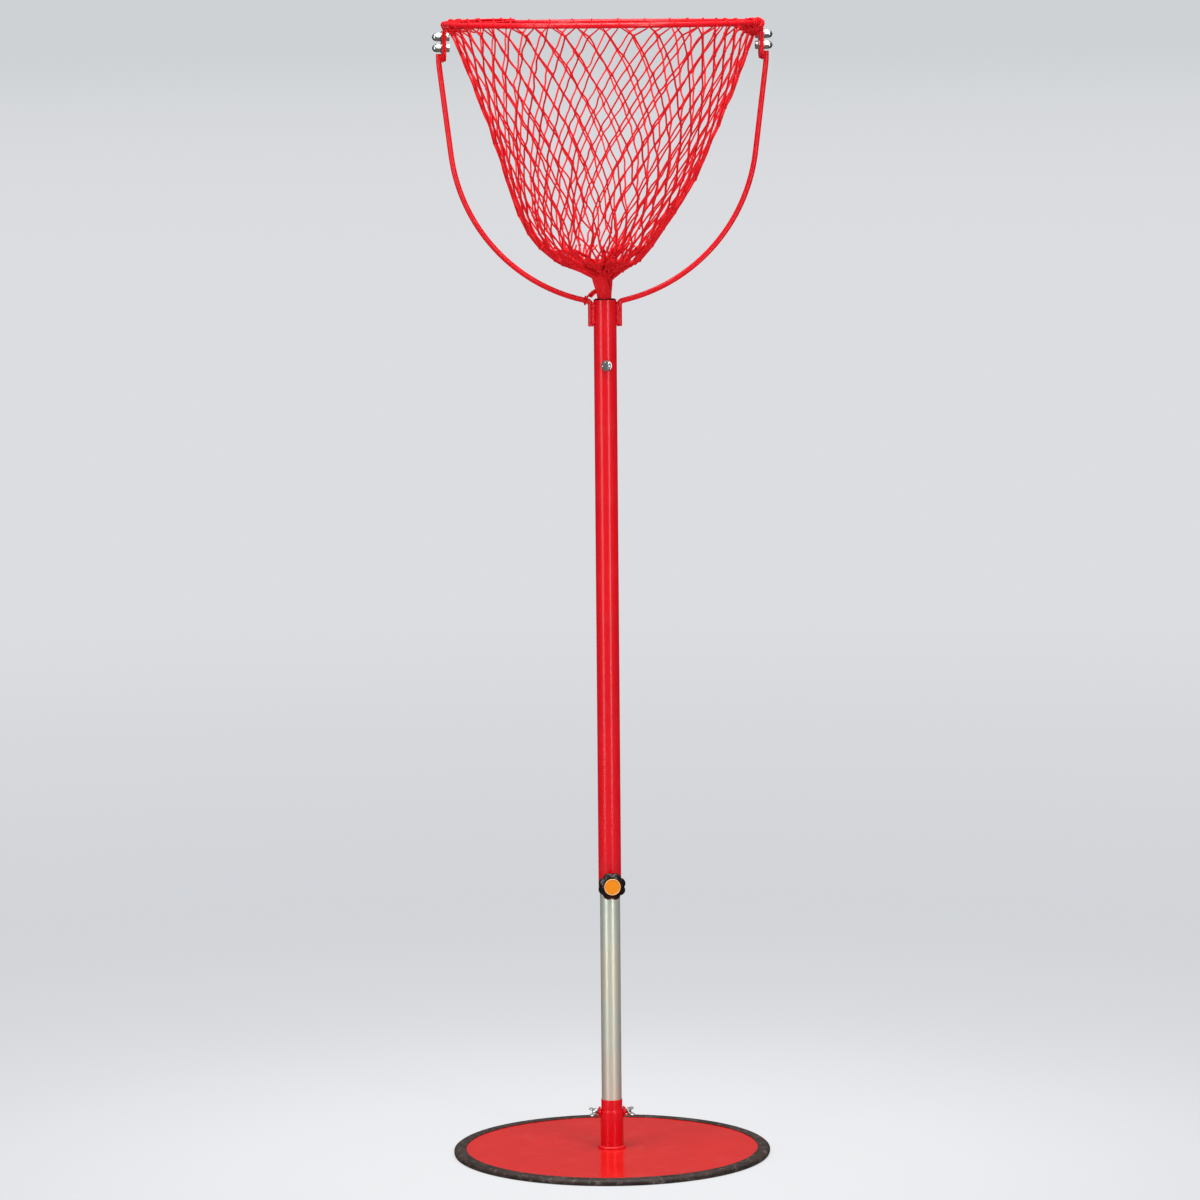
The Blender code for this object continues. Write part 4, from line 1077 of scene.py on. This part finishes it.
def hoop_bights(knots, hooks_at, turn, rng):
    """Top meshes: each cord leaves one knot, goes up one side of the hoop's bar, over its top and
    down the other side to the next knot. It is pulled thin where it lies on the bar."""
    first = np.roll(knots[0], 1, axis=0)
    second = knots[0]
    out = polar(1, turn, 0)
    along = np.stack([-np.sin(turn), np.cos(turn), np.zeros(MESHES)], -1)
    flip = np.where(rng.random(MESHES) < 0.5, 1, -1)[:, None]
    a = np.linspace(math.radians(-42), math.radians(222), 14)
    thin = 0.0009
    reach = BAR_RADIUS + thin
    slide = np.linspace(-0.0022, 0.0022, 14)
    wrap = (hooks_at[:, None] + reach * (np.cos(a)[None, :, None] * (out * flip)[:, None]
                                         + np.sin(a)[None, :, None] * UP)
            + slide[None, :, None] * along[:, None])
    t = np.linspace(0, 1, 6)[None, :, None]
    rise = first[:, None] + (wrap[:, :1] - first[:, None]) * t
    fall = wrap[:, -1:] + (second[:, None] - wrap[:, -1:]) * t
    path = np.concatenate([rise[:, :-1], wrap, fall[:, 1:]], axis=1)
    path[:, 1:-1] = (path[:, :-2] + 2 * path[:, 1:-1] + path[:, 2:]) / 4
    share = np.clip(np.abs(np.linspace(-1, 1, path.shape[1])) * 2.2 - 0.9, 0, 1)
    radius = thin + (CORD - thin) * share
    return swept(path, radius[None], 6, along[:, None] * np.ones((1, path.shape[1], 1)) + 0.02, batch=True)


def tail_cords(knots, rng):
    """The cords of the last three rows, and one row of inner ones, drawn together and led down into
    the tube. A cord keeps its own direction from the axis, eased from its knot to the bundle, with a
    slow wander."""
    last = knots[-1]
    inner = last * (0.55, 0.55, 1) + (0, 0, 0.006)
    ends = np.concatenate([last, inner, knots[-2] * (0.96, 0.96, 1), knots[-3] * (0.93, 0.93, 1)])
    scale = np.repeat((0.93, 0.55, 0.85, 0.70), MESHES)[:, None]
    hurry = np.repeat((4.0, 4.0, 2.8, 2.1), MESHES)[:, None]
    turn = np.arctan2(ends[:, 1], ends[:, 0] - np.interp(ends[:, 2], LEAN_HEIGHTS, LEAN))[:, None]
    t = np.linspace(0, 1, 18)[None]
    z = ends[:, 2:3] + (TAIL_HEIGHTS[0] - ends[:, 2:3]) * t
    twist = turn + 0.5 * t + 0.22 * np.sin(TURN * t * rng.uniform(0.6, 1.3, (len(ends), 1)) + turn * 3)
    wish = np.interp(z, TAIL_HEIGHTS, TAIL_RADII) - CORD
    wish = wish * scale * (1 + 0.05 * np.sin(5 * turn + 9 * t))
    start_radius = np.hypot(ends[:, 0] - np.interp(ends[:, 2], LEAN_HEIGHTS, LEAN), ends[:, 1])[:, None]
    ease = np.clip(t * hurry, 0, 1)
    radius = start_radius * (1 - ease) + wish * ease
    lean = np.interp(z, LEAN_HEIGHTS, LEAN)
    path = np.stack([radius * np.cos(twist) + lean, radius * np.sin(twist), z], -1)
    return swept(path, CORD * 1.05, 6, np.array((1.0, 0.3, 0.0)), batch=True)


def tail_winding():
    """Cord wound 3.4 turns round the tail: a helix with a slow wobble of its radius and height."""
    radius, height, lean, pitch, wander = 0.0152, 1.3945, -0.0030, 0.0026, 0.0006
    a = np.linspace(0, TURN * 3.4, 110)
    r = radius + wander * np.sin(3.1 * a + 0.5)
    z = height + pitch * a / TURN + wander * np.sin(1.7 * a)
    return swept(np.stack([r * np.cos(a) + lean, r * np.sin(a), z], -1), CORD, 7, UP)


def hoop_lashing(start, end, centre_turn, spread, runs, turns, tail_loops=0):
    """Cord lashed to the hoop: cords that run along the bar, each at its own angle round the bar with
    a slow wander, bound by an uneven helix. Loose loops may hang from its far end."""
    t = np.linspace(0, 1, 60)
    a = np.radians(start + (end - start) * t)
    out = polar(1, a, 0)
    centre = out * HOOP_RADIUS + UP * HOOP_HEIGHT
    parts = []
    for k in range(runs):
        share = k / max(runs - 1, 1) - 0.5
        around = math.radians(centre_turn + spread * share) + 0.28 * np.sin(6 * t + 2.4 * k)
        reach = BAR_RADIUS + CORD * 0.98 + 0.0009 * np.sin(math.pi * t) * ((k % 3) == 1)
        path = centre + reach[:, None] * (np.cos(around)[:, None] * out + np.sin(around)[:, None] * UP)
        parts.append(swept(path, CORD * (1 - 0.03 * (k % 2)), 7, UP))
    rows = 16 * turns
    t = np.linspace(0, 1, rows)
    uneven = t + 0.5 / turns * np.sin(TURN * t * 3.3 + 0.4) * np.sin(math.pi * t)
    a = np.radians(start + (end - start) * uneven)
    out = polar(1, a, 0)
    around = TURN * turns * t
    reach = BAR_RADIUS + 2.2 * CORD + 0.0004 * np.sin(around * 0.37)
    path = out * HOOP_RADIUS + UP * HOOP_HEIGHT + reach[:, None] * (
        np.cos(around)[:, None] * out + np.sin(around)[:, None] * UP)
    parts.append(swept(path, CORD * 0.9, 7, np.array((0.6, 0.8, 0.1))))
    t = np.linspace(0, 1, 26)
    for k in range(tail_loops):
        a = math.radians(end - 3.4 * (k + 0.5)) + np.radians(1.6) * np.cos(math.pi * t)
        hang = 0.0065 + 0.0045 * (1 + math.sin(2.3 * k)) / 2
        r = HOOP_RADIUS - 0.0015 + 0.0055 * np.cos(math.pi * t)
        z = HOOP_HEIGHT + 0.0015 - (hang + 0.0045) * np.sin(math.pi * t) ** 0.7
        parts.append(swept(polar(r, a, z), CORD * 0.9, 7, UP))
    return parts


def gathered_cords(start, end, count, drop, seed):
    """Slack cords bunched under the hoop's bar: each follows the bar between two angles at its own
    depth, drop sin(pi t) ^ 0.6 times its share, with a small wave of its own."""
    rng = np.random.default_rng(seed)
    t = np.linspace(0, 1, 44)[None]
    share = rng.uniform(0.15, 1, (count, 1))
    first = rng.uniform(0, 0.25, (count, 1))
    last = rng.uniform(0.75, 1, (count, 1))
    a = np.radians(start + (end - start) * (first + (last - first) * t))
    wave = np.sin(TURN * t * rng.uniform(1.5, 4.0, (count, 1)) + rng.uniform(0, TURN, (count, 1)))
    r = HOOP_RADIUS - 0.0010 + rng.uniform(-0.0045, 0.0040, (count, 1)) + 0.0012 * wave
    z = HOOP_HEIGHT - 0.0035 - drop * share * np.sin(math.pi * t) ** 0.6 + 0.0013 * wave
    return swept(polar(r, a, z), CORD * 0.95, 6, UP, batch=True)


def tie_route():
    """The tie leaves the tail, crosses to the left arm beside its bend and goes round it."""
    rise = math.radians(12)
    along = np.array((-math.cos(rise), 0, math.sin(rise)))
    across = np.array((math.sin(rise), 0, math.cos(rise)))
    centre = np.array((-0.0289, 0, 1.3615))
    reach = BAR_RADIUS + CORD + 0.0005
    a = np.linspace(0, TURN * 1.3, 34)[:, None]
    coil = (centre + along * 0.0030 * a / TURN + reach * (np.cos(a) * across + np.sin(a) * FRONT))
    lead = np.array([(-0.0095, -0.0030, 1.3830), (-0.0120, -0.0020, 1.3795), (-0.0155, 0.0005, 1.3755),
                     (-0.0200, 0.0010, 1.3722), (-0.0248, 0.0006, 1.3702)])
    return np.concatenate([lead, coil])


def tail_flare():
    """Loose cord ends that leave the tail beside the tie: each is a shallow arc
    P + t D + rise 4 t (1 - t) up, with D given as its reach, veer and drop."""
    t = np.linspace(0, 1, 14)[:, None]
    parts = []
    rise = 0.0022
    strands = ((1.3800, -0.0045, 0.0165, 0.0015, 0.0100), (1.3765, 0.0030, 0.0140, -0.0010, 0.0095),
               (1.3745, -0.0020, 0.0120, -0.0015, 0.0080), (1.3785, 0.0010, 0.0150, 0.0020, 0.0105))
    for height, depth, reach, veer, drop in strands:
        start = np.array((-0.0100, depth, height))
        path = start + t * np.array((-reach, veer, -drop)) + rise * 4 * t * (1 - t) * UP
        parts.append(swept(path, CORD * 0.95, 8, np.array((0.3, 0.9, 0.3))))
    return parts


def make_net():
    """Net, tail, lashings and tie, which all ride with the upper pole."""
    rng = np.random.default_rng(7)
    knots, pairs, hooks_at, turn = hang_net()
    flat = knots.reshape(-1, 3)
    body, slot = "upper_pole", "net_cord"
    piece("net_mesh_bars", [mesh_bars(flat, pairs, rng)], NET_CORD, body, slot, ["net_bag"], sharp=60)
    piece("net_mesh_knots", [mesh_knots(knots, rng)], NET_CORD, body, slot, sharp=70)
    piece("net_hoop_bights", [hoop_bights(knots, hooks_at, turn, rng)], NET_CORD, body, slot, sharp=60)
    tail = [tail_cords(knots, rng)] + tail_flare() + [tail_winding()]
    piece("net_tail_bundle", tail, NET_CORD, body, slot, sharp=60)
    left = hoop_lashing(120, 163, 80, 150, 6, 9, 7)
    left += [gathered_cords(152, 176, 12, 0.010, 3), gathered_cords(184, 200, 6, 0.008, 4)]
    piece("net_lashing_rear_left", left, NET_CORD, body, slot, ["net_lashing_left"], sharp=60)
    right = hoop_lashing(-28, -14, 215, 70, 3, 5)
    right += [gathered_cords(-34, -5, 16, 0.015, 5), gathered_cords(-26, -4, 10, 0.010, 6),
              gathered_cords(5, 30, 10, 0.012, 8)]
    piece("net_lashing_front_right", right, NET_CORD, body, slot, ["net_lashing_right"], sharp=60)
    piece("net_tie", [swept(tie_route(), CORD * 1.08, 10, np.array((0.3, 0.2, 1.0)))], NET_CORD, body,
          slot, ["net_tie_cord"], sharp=60)


# ---------------------------------------------------------------- studio

CAMERA_TURN = math.radians(5)
CAMERA_DISTANCE, CAMERA_HEIGHT, CAMERA_SIDE = 8.82, 1.9055, -0.0118
CAMERA_PITCH, CAMERA_ROLL = math.radians(6.58), math.radians(-0.5)
LENS = 168.6
FAR_BACKDROP = (0.62, 0.645, 0.665, 1.0)


def toward(degrees):
    """Level direction from the pole, counted from the camera's side towards the viewer's right."""
    a = -math.pi / 2 - CAMERA_TURN + math.radians(degrees)
    return np.array((math.cos(a), math.sin(a), 0.0))


def make_camera():
    """Long lens in front of the stand, turned about the pole by CAMERA_TURN."""
    data = bpy.data.cameras.new("camera")
    data.lens = LENS
    data.sensor_width = 36
    data.clip_end = 1000
    camera = bpy.data.objects.new("camera", data)
    bpy.context.scene.collection.objects.link(camera)
    side = np.array((math.cos(CAMERA_TURN), -math.sin(CAMERA_TURN), 0.0))
    camera.location = toward(0) * CAMERA_DISTANCE + side * CAMERA_SIDE + UP * CAMERA_HEIGHT
    facing = (Matrix.Rotation(-CAMERA_TURN, 4, "Z") @ Matrix.Rotation(math.pi / 2 - CAMERA_PITCH, 4, "X")
              @ Matrix.Rotation(CAMERA_ROLL, 4, "Z"))
    camera.rotation_euler = facing.to_euler()
    bpy.context.scene.camera = camera


def softbox(name, degrees, distance, height, size, power):
    """Rectangular lamp, unseen by the camera, that faces a point 1 m up the pole."""
    data = bpy.data.lights.new(name, "AREA")
    data.shape = "RECTANGLE"
    data.size, data.size_y = size
    data.energy = power
    light = bpy.data.objects.new(name, data)
    bpy.context.scene.collection.objects.link(light)
    light.location = toward(degrees) * distance + UP * height
    away = Vector(light.location) - Vector((0, 0, 1))
    light.rotation_euler = away.to_track_quat("Z", "Y").to_euler()
    light.visible_camera = False


def from_front(t, direction):
    """Cosine of the level angle between a direction and the camera's side."""
    level = t.add("VectorMath", {"operation": "MULTIPLY"}, i0=direction, i1=(1.0, 1.0, 0.0)).outputs[0]
    level = t.add("VectorMath", {"operation": "NORMALIZE"}, i0=level).outputs[0]
    dot = t.add("VectorMath", {"operation": "DOT_PRODUCT"}, i0=level, i1=tuple(toward(0)))
    return dot.outputs["Value"]


def make_floor():
    """Pale seamless floor. Seen directly it is a soft gradient, a painted pool of light brightest round
    the stand, with faint shadows;
    in reflections it is dimmer, and darkest to the sides and rear, so that round tubes keep dark edges."""
    far = 400.0
    mesh = bpy.data.meshes.new("studio_floor")
    corners = [(-far, -far, 0), (far, -far, 0), (far, far, 0), (-far, far, 0)]
    mesh.from_pydata(corners, [], [(0, 1, 2, 3)])
    floor = bpy.data.objects.new("studio_floor", mesh)
    bpy.context.scene.collection.objects.link(floor)
    paint = bpy.data.materials.new("studio_floor")
    paint.use_nodes = True
    t = Tree(paint.node_tree)
    t.nodes.remove(t.nodes["Principled BSDF"])
    place = t.add("TexCoord").outputs["Object"]
    away = t.add("VectorMath", {"operation": "LENGTH"}, i0=place).outputs["Value"]
    # painted pool of light: seen directly, the floor is brightest within 0.25 m of the stand and darkens
    # out to 1.3 m
    seen = t.mix(t.ramp(away, 0.25, 1.3), colour(0.795, 0.803, 0.833), colour(0.645, 0.660, 0.690))
    seen = t.mix(t.ramp(away, 2.0, 8.0), seen, colour(0.715, 0.723, 0.752))
    seen = t.mix(t.ramp(away, 15.0, 110.0), seen, FAR_BACKDROP)
    reflected = t.ramp(from_front(t, place), -0.20, 0.75, 0.05, 0.24)
    rays = t.add("LightPath")
    direct = t.add("Emission", Color=seen)
    lit = t.add("BsdfDiffuse", Color=colour(0.72, 0.72, 0.73))
    bounce = t.add("BsdfDiffuse", Color=colour(0.55, 0.55, 0.55))
    dim = t.add("Emission", Color=colour(0.98, 1.0, 0.97), Strength=reflected)
    shadow_share = t.ramp(away, 0.8, 2.5, 0.30, 0.0)
    view = t.add("MixShader", i0=shadow_share, i1=direct.outputs[0], i2=lit.outputs[0])
    other = t.add("MixShader", i0=rays.outputs["Is Glossy Ray"], i1=bounce.outputs[0], i2=dim.outputs[0])
    both = t.add("MixShader", i0=rays.outputs["Is Camera Ray"], i1=other.outputs[0], i2=view.outputs[0])
    t.links.new(both.outputs[0], t.nodes["Material Output"].inputs["Surface"])
    mesh.materials.append(paint)


def make_world():
    """Studio room: pale behind the floor's far edge, and for light and reflections brighter in front
    and overhead than to the sides and rear."""
    world = bpy.data.worlds.new("studio")
    bpy.context.scene.world = world
    world.use_nodes = True
    t = Tree(world.node_tree)
    direction = t.add("TexCoord").outputs["Generated"]
    height = t.add("SeparateXYZ", Vector=direction).outputs[2]
    level = t.ramp(from_front(t, direction), -0.20, 0.75, 0.12, 0.26)
    overhead = t.ramp(height, 0.30, 0.85, 0.0, 0.55)
    room = t.add("Background", Color=colour(1.0, 1.0, 1.0), Strength=t.plus(level, overhead))
    seen = t.add("Background", Color=FAR_BACKDROP)
    rays = t.add("LightPath")
    both = t.add("MixShader", i0=rays.outputs["Is Camera Ray"], i1=room.outputs[0], i2=seen.outputs[0])
    t.links.new(both.outputs[0], t.nodes["World Output"].inputs["Surface"])


def make_studio():
    """Floor, room and three soft lamps, in the Standard view."""
    make_floor()
    make_world()
    softbox("key_right", 30, 3.2, 1.5, (0.55, 3.4), 38)
    softbox("fill_left", -45, 3.0, 1.5, (0.9, 3.4), 36)
    softbox("top", 0, 0.6, 4.2, (3.0, 3.0), 150)
    bpy.context.scene.view_settings.view_transform = "Standard"


make_camera()
make_studio()
make_base()
make_wing_bolt("left", -1)
make_wing_bolt("right", 1)
make_pole()
make_stop_bolt()
make_clamp()
make_yoke()
make_hoop()
make_net()
